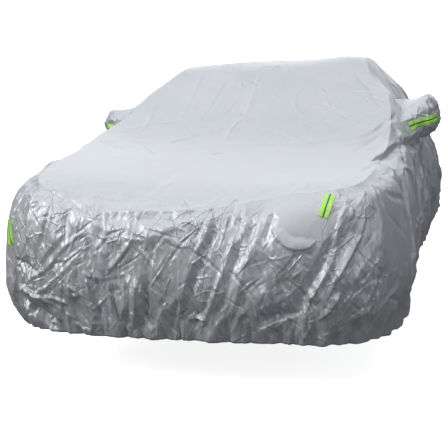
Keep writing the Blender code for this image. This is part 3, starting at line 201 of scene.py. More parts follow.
    ("other_pleat_d",  0.040,  0.018, (-0.78, 1.78, 1.11), (-0.92, 1.84, 0.69), (-0.88, 1.72, 0.38)),
    ("other_pleat_e",  0.050, -0.024, (-0.72, 2.09, 1.20), (-0.91, 2.15, 0.81), (-0.89, 2.21, 0.39)),
    ("other_pleat_f",  0.040,  0.016, (-0.77, 2.46, 1.10), (-0.93, 2.46, 0.69), (-0.88, 2.40, 0.37)),
    ("other_pleat_g",  0.045, -0.022, (-0.77, 2.75, 1.09), (-0.92, 2.70, 0.75), (-0.90, 2.64, 0.41)),
    ("other_pleat_h",  0.040,  0.016, (-0.79, 2.97, 1.03), (-0.92, 2.93, 0.69), (-0.88, 2.97, 0.38)),
    ("other_pleat_i",  0.045, -0.022, (-0.73, 3.19, 1.08), (-0.90, 3.15, 0.74), (-0.88, 3.11, 0.41)),
    ("other_pleat_j",  0.040,  0.018, (-0.75, 3.39, 0.98), (-0.88, 3.37, 0.68), (-0.82, 3.39, 0.34)),
    ("other_front_a",  0.035, -0.018, (-0.93, -0.18, 0.90), (-0.98, -0.15, 0.62), (-0.94, -0.20, 0.33)),
    ("other_front_b",  0.035,  0.016, (-0.92, 0.09, 0.92), (-0.97, 0.13, 0.63), (-0.92, 0.17, 0.32)),
    ("rear_a",         0.035, -0.022, (0.48, 3.69, 0.93), (0.50, 3.75, 0.72), (0.41, 3.71, 0.33)),
    ("rear_b",         0.030,  0.018, (0.32, 3.71, 0.94), (0.31, 3.77, 0.71), (0.27, 3.72, 0.33)),
    ("rear_c",         0.035, -0.020, (0.16, 3.74, 0.92), (0.14, 3.79, 0.67), (0.13, 3.74, 0.35)),
    ("rear_d",         0.030,  0.016, (0.03, 3.73, 0.94), (0.02, 3.79, 0.71), (0.03, 3.73, 0.33)),
    ("rear_e",         0.035, -0.022, (-0.10, 3.74, 0.92), (-0.13, 3.79, 0.71), (-0.10, 3.73, 0.33)),
    ("rear_f",         0.030,  0.018, (-0.26, 3.72, 0.94), (-0.27, 3.78, 0.71), (-0.23, 3.73, 0.35)),
    ("rear_g",         0.035, -0.022, (-0.42, 3.71, 0.92), (-0.46, 3.75, 0.68), (-0.37, 3.71, 0.33)),
    ("rear_h",         0.030,  0.016, (-0.55, 3.65, 0.96), (-0.65, 3.71, 0.73), (-0.59, 3.67, 0.33)),
    ("rear_corner_a",  0.035, -0.020, (0.66, 3.59, 0.97), (0.78, 3.62, 0.74), (0.75, 3.60, 0.36)),
    ("rear_corner_b",  0.035, -0.020, (-0.67, 3.57, 0.98), (-0.79, 3.60, 0.75), (-0.78, 3.54, 0.37)),
    ("roof_wave_a",    0.070,  0.006, (-0.43, 1.91, 1.48), (-0.05, 2.12, 1.51), (0.33, 1.99, 1.51)),
    ("roof_wave_b",    0.060, -0.006, (-0.38, 2.48, 1.47), (0.05, 2.37, 1.50), (0.43, 2.54, 1.45)),
    ("roof_wave_c",    0.060,  0.006, (-0.32, 2.82, 1.45), (0.11, 2.92, 1.46), (0.43, 2.76, 1.43)),
    ("back_crease_a",  0.035,  0.010, (-0.33, 3.07, 1.41), (-0.18, 3.39, 1.29), (-0.13, 3.59, 1.12)),
    ("back_crease_b",  0.035, -0.010, (0.27, 3.11, 1.41), (0.21, 3.39, 1.29), (0.06, 3.57, 1.15)),
    ("back_crease_c",  0.030,  0.010, (0.45, 3.24, 1.32), (0.33, 3.46, 1.22), (0.32, 3.61, 1.07)),
    ("back_dip",       0.050, -0.012, (-0.48, 3.50, 1.15), (0.00, 3.50, 1.22), (0.48, 3.50, 1.15)),
    ("hood_wave",      0.060,  0.006, (-0.41, -0.27, 0.98), (-0.16, 0.07, 1.01), (-0.24, 0.43, 1.06)),
]

POCKETS = {
    # x      y      z      half depth  half height
    "left": [
        (0.928, 1.078, 1.181, 0.124, 0.121),
        (0.968, 1.080, 1.190, 0.115, 0.108),
        (1.000, 1.084, 1.186, 0.090, 0.079),
        (1.015, 1.086, 1.183, 0.046, 0.039),
    ],
    "right": [
        (0.918, 1.076, 1.130, 0.117, 0.088),
        (0.952, 1.080, 1.135, 0.105, 0.077),
        (0.978, 1.084, 1.138, 0.080, 0.056),
        (0.990, 1.086, 1.140, 0.040, 0.028),
    ],
}

POCKET_TIP = 0.006
STRIP_LONG, STRIP_WIDE, MIRROR_STRIP_WIDE = 0.125, 0.058, 0.047

STRIPS = [
    # name                 middle                   long axis               laid on along            length       width
    ("front_strip_left",  (0.647, -0.666, 0.877), (0.021, 0.085, 0.096), (-0.11, 0.78, -0.61), 0.128, 0.048),
    ("front_strip_right", (-0.872, -0.612, 0.708), (-0.014, 0.045, 0.115), (0.76, 0.64, -0.12), STRIP_LONG, STRIP_WIDE),
    ("mirror_strip_left", (0.949, 0.936, 1.155), (0.120, 0.100, 0.038), (-0.60, 0.80, 0.00), 0.198, MIRROR_STRIP_WIDE),
    ("mirror_strip_right", (-0.925, 0.930, 1.104), (-0.120, 0.100, 0.014), (0.60, 0.80, 0.00), 0.130, MIRROR_STRIP_WIDE),
]

WORLD_LIGHT = 0.13
LIGHTS = [
    # name        place              aim               size        power  colour
    ("overhead", (-0.4, 0.3, 6.0),  (0.0, 0.3, 0.0),  (9.0, 10.5), 375.0, (0.95, 0.975, 1.0)),
    ("rear_sky", (-2.0, 12.0, 5.0), (-0.4, 2.0, 1.0), (14.0, 8.0), 620.0, (0.95, 0.975, 1.0)),
    ("front_sky", (-1.5, -9.0, 7.5), (0.0, -0.8, 0.5), (12.0, 3.0), 45.0, (0.95, 0.975, 1.0)),
    ("key",      (-6.0, -4.8, 4.2), (0.0, -0.4, 0.5), (3.0, 3.0), 315.0, (1.0, 0.995, 0.98)),
    ("rim",      (6.5, -0.5, 3.0),  (0.9, 0.6, 0.6),  (1.6, 2.6), 24.0, (0.95, 0.975, 1.0)),
    ("fill",     (5.5, -7.0, 3.2),  (0.8, -0.5, 0.5),  (2.4, 2.4), 75.0, (0.95, 0.975, 1.0)),
    ("backdrop", (0.0, 12.0, 9.0),  (0.0, 19.0, 3.0), (20.0, 4.0), 900.0, (1.0, 1.0, 1.0)),
    ("apron",    (0.5, -8.0, 7.0),  (0.5, -7.0, 0.0), (8.0, 5.0), 135.0, (1.0, 1.0, 1.0)),
]
FLOOR_GLOW = 0.86


# ------------------------------------------------------------- base surface
NAMES = [row[0] for row in HOOPS]
CORNER = NAMES.index("front_corner")
REAR = NAMES.index("rear_corner")
END = len(NAMES) - 1
HALF = np.array([row[1:] for row in HOOPS], float)
MIRRORED = HALF * np.array([-1.0, 1.0, 1.0])
LOOP = np.concatenate([MIRRORED[2:0:-1], HALF, MIRRORED[-2:-4:-1]])
CROWN_LINE = np.array([[row[1], row[2]] for row in CROWN])


def slopes(tab):
    m = np.empty_like(tab)
    m[1:-1] = (tab[2:] - tab[:-2]) / 2
    m[0] = tab[1] - tab[0]
    m[-1] = tab[-1] - tab[-2]
    return m


def through(tab, t):
    t = np.clip(np.asarray(t, float), 0, len(tab) - 1)
    i = np.clip(np.floor(t).astype(int), 0, len(tab) - 2)
    f = (t - i)[..., None]
    m = slopes(tab)
    return ((2*f**3 - 3*f**2 + 1) * tab[i] + (f**3 - 2*f**2 + f) * m[i]
            + (-2*f**3 + 3*f**2) * tab[i + 1] + (f**3 - f**2) * m[i + 1])


def skirt(t, s):
    t, s = np.broadcast_arrays(np.asarray(t, float), np.asarray(s, float))
    rows = through(LOOP.reshape(len(LOOP), 15), np.abs(t) + 2).reshape(t.shape + (5, 3))
    m = np.empty_like(rows)
    m[..., 1:-1, :] = (rows[..., 2:, :] - rows[..., :-2, :]) / 2
    m[..., 0, :] = (rows[..., 1, :] - rows[..., 0, :]) * 1.1
    m[..., -1, :] = rows[..., -1, :] - rows[..., -2, :]
    i = np.clip(np.floor(s).astype(int), 0, 3)
    f = (s - i)[..., None]

    def at(a, j):
        return np.take_along_axis(a, np.broadcast_to(j[..., None, None], t.shape + (1, 3)), axis=-2)[..., 0, :]

    p = ((2*f**3 - 3*f**2 + 1) * at(rows, i) + (f**3 - 2*f**2 + f) * at(m, i)
         + (-2*f**3 + 3*f**2) * at(rows, i + 1) + (f**3 - f**2) * at(m, i + 1))
    p[..., 0] *= np.where(t < 0, -1.0, 1.0)
    return p


def arch(a, t):
    edge = skirt(t, np.zeros_like(t))
    mid = through(CROWN_LINE, t - CORNER)
    w = 1 - np.abs(a) ** 2.6
    return np.stack([edge[..., 0] * a, edge[..., 1] + (mid[..., 0] - edge[..., 1]) * w,
                     edge[..., 2] + (mid[..., 1] - edge[..., 2]) * w], -1)


def top(a, t):
    a, t = np.broadcast_arrays(np.asarray(a, float), np.asarray(t, float))
    p = arch(a, t)
    front = skirt(CORNER * a, np.zeros_like(a))
    rear = skirt(np.where(a < 0, -1, 1) * (END - (END - REAR) * np.abs(a)), np.zeros_like(a))
    for t0, edge, span in ((CORNER, front, 1.6), (REAR, rear, 1.0)):
        f = np.clip(1 - np.abs(t - t0) / span, 0, 1)
        f = f * f * (3 - 2 * f)
        p = p + (edge - arch(a, np.full_like(a, float(t0)))) * f[..., None]
    return p


def outward(p):
    core = np.stack([np.clip(p[..., 0], -0.45, 0.45), np.clip(p[..., 1], -0.20, 3.20),
                     np.minimum(p[..., 2], 0.62 + 0.45 * np.exp(-((p[..., 1] - 2.2) / 1.1) ** 4))], -1)
    d = p - core
    return d / np.linalg.norm(d, axis=-1, keepdims=True)


def slack(p):
    q = np.array(p, float)
    for _, x, y, z, r, dx, dy, dz in SWELLS:
        w = np.exp(-((q[..., 0] - x) ** 2 + (q[..., 1] - y) ** 2 + (q[..., 2] - z) ** 2) / (2 * r * r))
        q = q + w[..., None] * np.array([dx, dy, dz])
    return q


def smooth(lo, hi, x):
    f = np.clip((x - lo) / (hi - lo), 0, 1)
    return f * f * (3 - 2 * f)


# ------------------------------------------------------------------ the relief
def fold_relief(p, d_out, lines):
    """Creased folds along lines, with flat flanks that meet in a sharp crest.
    A line is (half width, height, points, pieces per span, lean, place of the
    highest point along it, or 0 for an even fold with pointed ends)."""
    h = np.zeros(len(p))
    order = np.argsort(p[:, 0], kind="stable")
    xs = p[order, 0]
    for half, height, line, pieces, lean, peak in lines:
        line = np.asarray(line, float)
        if pieces > 1:
            line = through(line, np.linspace(0, len(line) - 1, pieces * (len(line) - 1) + 1))
        reach = half * 1.7
        lo, hi = line.min(0) - reach, line.max(0) + reach
        i0, i1 = np.searchsorted(xs, [lo[0], hi[0]])
        near = order[i0:i1]
        if not len(near):
            continue
        q = p[near]
        near = near[((q[:, 1:] > lo[1:]) & (q[:, 1:] < hi[1:])).all(1)]
        if not len(near):
            continue
        q, out = p[near], d_out[near]
        n = len(line) - 1
        best = np.full(len(q), 9.0)
        where = np.zeros(len(q))
        side = np.zeros(len(q))
        for k in range(n):
            a, d = line[k], line[k + 1] - line[k]
            u = np.clip(((q - a) @ d) / (d @ d), 0, 1)
            r = q - a - u[:, None] * d
            e = np.sqrt(np.einsum("ij,ij->i", r, r))
            closer = e < best
            best = np.where(closer, e, best)
            where = np.where(closer, (k + u) / n, where)
            side = np.where(closer, np.einsum("ij,ij->i", np.cross(d[None], out), r), side)
        w = half * np.where(side * lean > 0, 0.75, 1.50)
        if peak:
            along = np.minimum(where / peak, (1 - where) / (1 - peak))
        else:
            along = np.minimum(1.0, np.minimum(where, 1 - where) * 5 + 0.02)
        h[near] += height * np.clip(along - best / w, 0, 1)
    return h


def on_surface(kind, t, s):
    if kind == "top":
        return slack(top(t, s))
    return slack(skirt(t, s))


def random_lines():
    """Small creases, row by row of the table, always the same ones."""
    out = []
    for (_, kind, t0, t1, s0, s1, count, seed, long0, long1, half, height, angle, spread_) in CREASES:
        rng = np.random.default_rng(seed)
        for _ in range(count):
            t, s = rng.uniform(t0, t1), rng.uniform(s0, s1)
            turn = np.radians(angle + spread_ * rng.standard_normal())
            length = long0 * (long1 / long0) ** rng.random()
            e = 1e-3
            c = np.array([[t, s], [t + e, s], [t, s + e]])
            q = on_surface(kind, c[:, 0], c[:, 1])
            pt, ps = (q[1] - q[0]) / e, (q[2] - q[0]) / e
            lt, ls = np.linalg.norm(pt), np.linalg.norm(ps)
            dt, ds = np.sin(turn) * length / 2 / lt, np.cos(turn) * length / 2 / ls
            k = np.array([-1.0, 0.0, 1.0])
            tt, ss = t + dt * k, s + ds * k
            if kind == "skirt":
                ss = np.clip(ss, 0.0, 4.0)
            bend = rng.standard_normal() * 0.04
            tt[1] += bend * ds * ls / lt * 2
            line = on_surface(kind, tt, ss)
            if np.linalg.norm(line[2] - line[0]) < 0.01:
                continue
            size = rng.uniform(0.6, 1.5)
            up = 1 if rng.random() < 0.6 else -1
            amount = up * height * rng.uniform(0.5, 1.3) * (size ** 0.7) * calm(line[1:2])[0]
            lean = 1 if rng.random() < 0.5 else -1
            peak = 0.12 + 0.76 * rng.random()
            if abs(amount) > 0.15 * height:
                out.append((half * size, amount, line, 1 if length < 0.12 else 2, lean, peak))
    return out


EDGES = [
    # name         half w. height  steep side  path (x, y, z)
    ("nose_edge",    0.060,  0.019,  1, (-0.56, -0.67, 0.885), (-0.40, -0.72, 0.83), (-0.30, -0.72, 0.83), (-0.15, -0.71, 0.83), (-0.01, -0.70, 0.84), (0.12, -0.65, 0.87)),
    ("lamp_low",     0.040,  0.018,  1, (0.40, -0.715, 0.79), (0.44, -0.735, 0.73), (0.50, -0.745, 0.690), (0.57, -0.740, 0.690), (0.625, -0.730, 0.735)),
    ("pillar",       0.050,  0.020, -1, (0.50, 1.66, 1.53), (0.58, 1.48, 1.44), (0.65, 1.36, 1.36), (0.73, 1.11, 1.29), (0.79, 1.00, 1.24)),
    ("pillar_d1",    0.022, -0.016,  1, (0.58, 1.80, 1.48), (0.66, 1.68, 1.37), (0.74, 1.55, 1.27)),
    ("pillar_d2",    0.026, -0.018, -1, (0.60, 1.98, 1.43), (0.71, 1.90, 1.32), (0.78, 1.85, 1.22)),
    ("pillar_d3",    0.014, -0.009,  1, (0.66, 1.50, 1.38), (0.74, 1.32, 1.29), (0.80, 1.15, 1.24)),
    ("cowl_crease",  0.024, -0.016,  1, (0.79, 0.93, 1.21), (0.765, 0.80, 1.175), (0.72, 0.66, 1.14), (0.63, 0.55, 1.09), (0.52, 0.50, 1.075)),
    ("cowl_ridge",   0.030,  0.012, -1, (0.80, 0.80, 1.19), (0.74, 0.58, 1.12), (0.64, 0.48, 1.075), (0.52, 0.44, 1.065)),
    ("fender_crease", 0.034, -0.024, 1, (0.85, 0.60, 1.06), (0.83, 0.47, 1.04), (0.81, 0.22, 1.03), (0.76, -0.05, 1.01)),
    ("fender_fold",  0.018, -0.014, -1, (0.82, 0.50, 1.065), (0.86, 0.45, 1.02), (0.89, 0.40, 0.98)),
    ("under_pocket", 0.040, -0.036, -1, (0.85, 0.60, 1.07), (0.88, 0.78, 1.05), (0.90, 1.10, 1.05)),
    ("tent_line",    0.016, -0.012,  1, (0.84, 0.74, 1.12), (0.86, 0.57, 1.05), (0.91, 0.22, 0.95), (0.95, -0.03, 0.83)),
    ("pull_1",       0.030, -0.026,  1, (0.89, 0.95, 1.04), (0.925, 0.90, 0.88), (0.94, 0.96, 0.62)),
    ("pull_2",       0.026,  0.020, -1, (0.88, 1.10, 1.04), (0.92, 1.12, 0.86), (0.935, 1.15, 0.60)),
    ("pull_3",       0.034, -0.028,  1, (0.87, 1.55, 1.00), (0.91, 1.58, 0.82), (0.92, 1.62, 0.60)),
    ("pull_4",       0.034,  0.022, -1, (0.86, 1.85, 0.98), (0.91, 1.85, 0.80), (0.92, 1.88, 0.56)),
    ("pull_5",       0.040, -0.030,  1, (0.86, 2.20, 0.96), (0.91, 2.20, 0.80), (0.91, 2.25, 0.58)),
    ("bumper_line",  0.022,  0.006,  1, (-0.48, -0.77, 0.560), (-0.40, -0.79, 0.535), (-0.31, -0.80, 0.545), (-0.24, -0.80, 0.560)),
    ("dark_pleat_1", 0.020, -0.018,  1, (-0.40, -0.79, 0.54), (-0.385, -0.78, 0.44), (-0.34, -0.74, 0.30)),
    ("dark_pleat_2", 0.018, -0.016,  1, (-0.32, -0.79, 0.53), (-0.31, -0.77, 0.40), (-0.29, -0.73, 0.28)),
    ("dark_pleat_3", 0.016, -0.014,  1, (-0.25, -0.80, 0.53), (-0.245, -0.78, 0.43), (-0.22, -0.76, 0.36)),
    ("dark_pleat_4", 0.014, -0.012,  1, (-0.17, -0.80, 0.52), (-0.165, -0.78, 0.40), (-0.155, -0.74, 0.29)),
    ("low_hollow_2", 0.036, -0.024,  1, (0.34, -0.75, 0.31), (0.42, -0.76, 0.36), (0.50, -0.75, 0.395)),
    ("left_hollow_2", 0.045, -0.036, 1, (-0.86, -0.61, 0.42), (-0.76, -0.66, 0.35), (-0.63, -0.69, 0.28)),
    ("left_sliver_2", 0.018,  0.018, 1, (-0.84, -0.65, 0.47), (-0.74, -0.70, 0.42), (-0.62, -0.73, 0.38)),
    ("corner_curl_1", 0.022,  0.018,  1, (0.66, -0.72, 0.27), (0.76, -0.68, 0.34), (0.86, -0.60, 0.45)),
    ("corner_curl_2", 0.018, -0.014,  1, (0.74, -0.69, 0.46), (0.82, -0.64, 0.53), (0.90, -0.55, 0.57)),
    ("corner_curl_3", 0.016,  0.014,  1, (0.60, -0.73, 0.34), (0.68, -0.71, 0.44), (0.72, -0.70, 0.52)),
    ("low_tuft",     0.016,  0.016,  1, (0.02, -0.78, 0.34), (0.07, -0.77, 0.36), (0.12, -0.76, 0.35)),
    ("diamond_1",    0.010,  0.0060, 1, (-0.44, -0.72, 0.82), (-0.34, -0.77, 0.74), (-0.25, -0.79, 0.66)),
    ("diamond_2",    0.010, -0.0065, 1, (-0.24, -0.73, 0.81), (-0.33, -0.77, 0.72), (-0.40, -0.78, 0.64)),
    ("diamond_3",    0.010, -0.0065, 1, (-0.12, -0.74, 0.79), (-0.22, -0.78, 0.68), (-0.33, -0.80, 0.56)),
    ("diamond_4",    0.010,  0.0060, 1, (-0.06, -0.77, 0.76), (0.02, -0.79, 0.68), (0.06, -0.80, 0.58)),
    ("diamond_5",    0.010, -0.0065, 1, (0.10, -0.74, 0.78), (0.02, -0.78, 0.71), (-0.06, -0.80, 0.60)),
    ("diamond_6",    0.010,  0.0060, 1, (-0.20, -0.79, 0.70), (-0.12, -0.80, 0.60), (-0.07, -0.80, 0.52)),
    ("diamond_7",    0.010, -0.0065, 1, (0.22, -0.78, 0.60), (0.30, -0.78, 0.52), (0.36, -0.77, 0.43)),
    ("diamond_8",    0.010,  0.0060, 1, (0.32, -0.76, 0.68), (0.38, -0.77, 0.58), (0.42, -0.77, 0.48)),
    ("diamond_9",    0.010, -0.0065, 1, (0.10, -0.80, 0.66), (0.18, -0.80, 0.58), (0.24, -0.79, 0.49)),
    ("corner_long",  0.022, -0.010,  1, (0.77, -0.41, 0.97), (0.87, -0.54, 0.87), (0.93, -0.45, 0.77), (0.97, -0.28, 0.67)),
    ("screen_1",     0.012, -0.0060, 1, (0.48, 1.11, 1.31), (0.57, 1.12, 1.32), (0.68, 1.10, 1.31)),
    ("screen_2",     0.012, -0.0060, 1, (0.58, 1.07, 1.30), (0.67, 1.04, 1.29), (0.76, 0.93, 1.25)),
    ("screen_3",     0.012,  0.0050, 1, (0.19, 1.19, 1.35), (0.19, 0.99, 1.25), (0.30, 0.79, 1.17)),
    ("screen_4",     0.012, -0.0055, 1, (0.47, 1.12, 1.32), (0.41, 0.99, 1.26), (0.39, 0.90, 1.21)),
    ("screen_5",     0.010,  0.0050, 1, (0.44, 0.82, 1.18), (0.53, 0.86, 1.20), (0.59, 0.88, 1.21)),
    ("screen_6",     0.012,  0.0060, -1, (0.36, 0.82, 1.18), (0.48, 0.77, 1.16), (0.58, 0.69, 1.14)),
    ("screen_7",     0.013, -0.0060, 1, (-0.13, 1.18, 1.34), (-0.16, 1.00, 1.26), (-0.19, 0.82, 1.18)),
    ("screen_8",     0.018,  0.0060, 1, (-0.10, 1.39, 1.44), (-0.08, 1.09, 1.30), (-0.07, 0.79, 1.17)),
    ("screen_9",     0.016,  0.0060, -1, (-0.47, 1.45, 1.45), (-0.45, 1.16, 1.33), (-0.44, 0.89, 1.21)),
    ("screen_10",    0.016, -0.0065, 1, (-0.27, 1.36, 1.43), (-0.29, 1.04, 1.28), (-0.33, 0.66, 1.13)),
    ("screen_11",    0.014, -0.0065, 1, (-0.42, 0.42, 1.065), (-0.31, 0.52, 1.08), (-0.18, 0.66, 1.12)),
    ("screen_12",    0.012,  0.0060, 1, (-0.10, 0.48, 1.07), (-0.11, 0.67, 1.12), (-0.07, 0.85, 1.19)),
    ("screen_13",    0.014, -0.0065, 1, (-0.66, 0.43, 1.085), (-0.50, 0.31, 1.05), (-0.33, 0.02, 1.02)),
    ("screen_14",    0.012,  0.0055, 1, (-0.67, 1.04, 1.28), (-0.63, 0.80, 1.18), (-0.62, 0.53, 1.10)),
    ("screen_15",    0.016,  0.0060, -1, (0.15, 0.68, 1.12), (0.31, 0.53, 1.08), (0.45, 0.36, 1.05)),
    ("screen_16",    0.012, -0.0055, 1, (-0.62, 0.73, 1.16), (-0.48, 0.81, 1.18), (-0.35, 0.95, 1.235)),
]


def hand_lines():
    out = []
    for _, half, height, steep, *path in EDGES:
        out.append((half, height, np.array(path), 5, steep, 0))
    for k, row in enumerate(FOLDS):
        p = np.array(row[3:])
        up = outward(p[len(p) // 2:len(p) // 2 + 1])[0, 2]
        share = 1 - 0.55 * float(smooth(0.55, 0.85, up))
        out.append((row[1] * 1.15, row[2] * SHARP * share, p, 5, 1 if k % 2 else -1, 0))
    return out


def calm(p):
    """Share of the crumpling that is left: taut places are smooth."""
    x, y, z = p.T
    quiet = np.ones(len(p))
    for _, cx, cy, cz, r, keep in CALM:
        w = np.exp(-(((x - cx) ** 2 + (y - cy) ** 2 + (z - cz) ** 2) / (r * r)) ** 1.5)
        quiet *= 1 - (1 - keep) * w
    return quiet


def hashed(i, j, k, seed, n):
    """n numbers in 0..1 for every cell, always the same."""
    x = (i.astype(np.int64) * 73856093) ^ (j.astype(np.int64) * 19349663) ^ (k.astype(np.int64) * 83492791) ^ (seed * 2654435761)
    out = []
    for m in range(n):
        y = (x + m * 362437) & 0x7FFFFFFF
        y = (y ^ (y >> 15)) * 2246822519 & 0x7FFFFFFF
        y = (y ^ (y >> 13)) * 3266489917 & 0x7FFFFFFF
        y = y ^ (y >> 16)
        out.append((y & 0xFFFFFF) / float(0x1000000))
    return out


def nearest_square(q, seed):
    """Squared distance to the nearest of one point in each unit cell."""
    base = np.floor(q).astype(np.int64)
    best = np.full(len(q), 99.0)
    for di in (-1, 0, 1):
        for dj in (-1, 0, 1):
            for dk in (-1, 0, 1):
                i, j, k = base[:, 0] + di, base[:, 1] + dj, base[:, 2] + dk
                a, b, c = hashed(i, j, k, seed, 3)
                d = (i + a - q[:, 0]) ** 2 + (j + b - q[:, 1]) ** 2 + (k + c - q[:, 2]) ** 2
                best = np.minimum(best, d)
    return best


def facets(q, seed):
    """Flat facets that meet in straight creases, about -0.5 to 0.5."""
    return nearest_square(q, seed) - nearest_square(q + 17.3, seed + 101)


def crumple(p, d_out):
    """Crumpled cloth: long leaning facets on the upright cloth, shallow ones on top."""
    up = d_out[:, 2]
    hang = smooth(0.80, 0.35, up)
    x, y, z = p.T
    lean_front = -0.10 + 0.50 * smooth(-0.50, 0.15, x)
    on_front = smooth(0.1, -0.5, y) * smooth(0.3, 0.8, -d_out[:, 1])
    xs = x - (z - 0.55) * lean_front * on_front
    ys = y + (z - 0.55) * 0.25
    h = np.zeros(len(p))
    for (wide, tall, height, seed, turn) in CRUMPLES:
        c, s = np.cos(turn), np.sin(turn)
        a = xs * c + z * s * 0.6
        zz = z * c - xs * s * 0.6
        q = np.stack([a / wide, ys / wide, zz / tall], 1)
        h += height * facets(q, seed)
    quiet = calm(p)
    low = (0.75 + 0.45 * smooth(0.75, 0.35, z)) * (1 + 1.0 * smooth(0.3, 1.0, y))
    flat = np.zeros(len(p))
    for (wide, height, seed) in FLAT_CRUMPLES:
        flat += height * facets(p / wide, seed)
    return h * hang * quiet * low + flat * (1 - hang)


SHARP = 0.72
CRUMPLES = [
    # cell width, cell height, height of the facets, seed, turn
    (0.150, 0.42, 0.0250, 11, 0.00),
    (0.090, 0.20, 0.0080, 23, 0.35),
    (0.042, 0.08, 0.0018, 37, -0.50),
]
CREASES = [
    # name            on       from t  to t   from s  to s  count seed long0  long1  half    height  angle spread
    ("front_bands", "skirt", -2.6, 3.0, 1.2, 3.7, 44, 1, 0.25, 0.6, 0.022, 0.0085, 13, 7),
    ("front_planes", "skirt", -3.0, 3.0, 0.6, 3.7, 22, 2, 0.12, 0.35, 0.026, 0.0075, 5, 45),
    ("front_lines", "skirt", -3.1, 3.1, 0.3, 3.8, 230, 21, 0.08, 0.34, 0.008, 0.0052, 18, 28),
    ("front_cross", "skirt", -3.1, 3.1, 0.5, 3.7, 170, 22, 0.05, 0.24, 0.0078, 0.005, -48, 14),
    ("front_short", "skirt", -3.2, 3.2, 0.3, 3.9, 150, 23, 0.025, 0.09, 0.0052, 0.002, 10, 60),
    ("front_fine", "skirt", -3.4, 3.4, 0.0, 3.9, 200, 3, 0.02, 0.05, 0.0045, 0.0012, 0, 70),
    ("front_feet", "skirt", -3.1, 3.1, 2.6, 3.9, 70, 24, 0.1, 0.26, 0.0130, 0.011, 6, 12),
    ("front_low", "skirt", -3.1, 3.1, 2.2, 3.6, 30, 25, 0.15, 0.34, 0.0180, 0.012, 10, 8),
    ("left_bands", "skirt", 3.6, 13.8, 0.5, 3.6, 140, 4, 0.30, 0.80, 0.03, 0.022, -4, 9),
    ("left_planes",   "skirt",  3.6,  13.8,   0.5,   3.7,   90,  41, 0.15,  0.45,  0.034,  0.0090,    0,   50),
    ("left_lines", "skirt", 3.3, 13.8, 0.2, 3.9, 330, 5, 0.06, 0.26, 0.011, 0.0065, 0, 45),
    ("left_near", "skirt", 3.1, 8.5, 0.2, 3.8, 120, 51, 0.05, 0.20, 0.0090, 0.005, 15, 40),
    ("right_bands", "skirt", -13.8, -3.6, 0.5, 3.6, 140, 6, 0.30, 0.80, 0.03, 0.022, 4, 9),
    ("right_planes",  "skirt", -13.8, -3.6,   0.5,   3.7,   90,  61, 0.15,  0.45,  0.034,  0.0090,    0,   50),
    ("right_lines", "skirt", -13.8, -3.3, 0.2, 3.9, 330, 7, 0.06, 0.26, 0.011, 0.0065, 0, 45),
    ("rear_left",     "skirt",  13.8, 16.0,   0.4,   3.7,   60,   8, 0.12,  0.45,  0.020,  0.0090,    5,   22),
    ("rear_right",    "skirt", -16.0, -13.8,  0.4,   3.7,   60,   9, 0.12,  0.45,  0.020,  0.0090,   -5,   22),
    ("rear_lines_l",  "skirt",  13.8, 16.0,   0.2,   3.8,   80,  81, 0.05,  0.22,  0.0090, 0.0038,    5,   45),
    ("rear_lines_r",  "skirt", -16.0, -13.8,  0.2,   3.8,   80,  91, 0.05,  0.22,  0.0090, 0.0038,   -5,   45),
    ("screen", "top", -0.95, 0.95, 6.2, 9.3, 90, 10, 0.08, 0.36, 0.0095, 0.0045, -38, 12),
    ("cowl", "top", -0.95, 0.95, 5.4, 6.8, 50, 11, 0.05, 0.22, 0.0090, 0.004, 60, 30),
    ("bonnet", "top", -0.95, 0.95, 3.1, 5.6, 30, 12, 0.05, 0.25, 0.0100, 0.0018, -30, 45),
    ("roof", "top", -0.95, 0.95, 9.0, 11.2, 50, 13, 0.08, 0.40, 0.0100, 0.003, 30, 45),
    ("back", "top", -0.95, 0.95, 11.2, 13.9, 90, 14, 0.06, 0.35, 0.0110, 0.003, 10, 35),
    ("bonnet_lip", "top", -0.95, 0.95, 3.0, 3.5, 90, 15, 0.03, 0.10, 0.0080, 0.003, 12, 25),
]
FLAT_CRUMPLES = [
    (0.30, 0.0014, 61),
    (0.12, 0.0005, 67),
]
CALM = [
    # name             x      y      z     radius  share of the crumpling that is left
    ("lamp",          0.52, -0.72,  0.80,  0.16,  0.05),
    ("corner_panel",  0.95, -0.32,  0.72,  0.27,  0.16),
    ("fender",        0.90,  0.20,  0.95,  0.16,  0.55),
]


def girth():
    """Length along the widest line from the middle of the front, for each station."""
    t = np.linspace(0, END, 2001)
    p = skirt(t, np.full_like(t, 2.0))
    return t, np.concatenate([[0], np.cumsum(np.linalg.norm(np.diff(p, axis=0), axis=1))])


GIRTH_T, GIRTH_U = girth()


def ruffle(t, s, side_seed=0.0):
    """Gathers of the elastic hem, at places that only depend on the length around the cover."""
    u = np.sign(t) * np.interp(np.abs(t), GIRTH_T, GIRTH_U)
    warp = u + 0.030 * np.sin(u * 9.1 + 1.0) + 0.014 * np.sin(u * 23.7 + 0.4) + 0.006 * np.sin(u * 61.0)
    wide = np.abs(np.sin(warp * np.pi / 0.105)) - 0.5
    mid = np.abs(np.sin(warp * np.pi / 0.047 + 0.8 * np.sin(u * 5.0))) - 0.5
    b = 0.5 + 0.5 * np.sin(u * 7.3 + 0.7) * np.sin(u * 3.1 + 2.0)
    return (wide * 0.020 * smooth(3.2, 3.95, s) + mid * 0.010 * (0.4 + 0.8 * b) * smooth(3.6, 3.98, s))


LINES = hand_lines() + random_lines()


def relief(p, extra=None):
    """Moves points of the slack surface out or in by the height of the folds."""
    flat = p.reshape(-1, 3)
    d = outward(flat)
    h = fold_relief(flat, d, LINES) + crumple(flat, d)
    if extra is not None:
        h = h + extra.reshape(-1)
    return (flat + d * h[:, None]).reshape(p.shape)


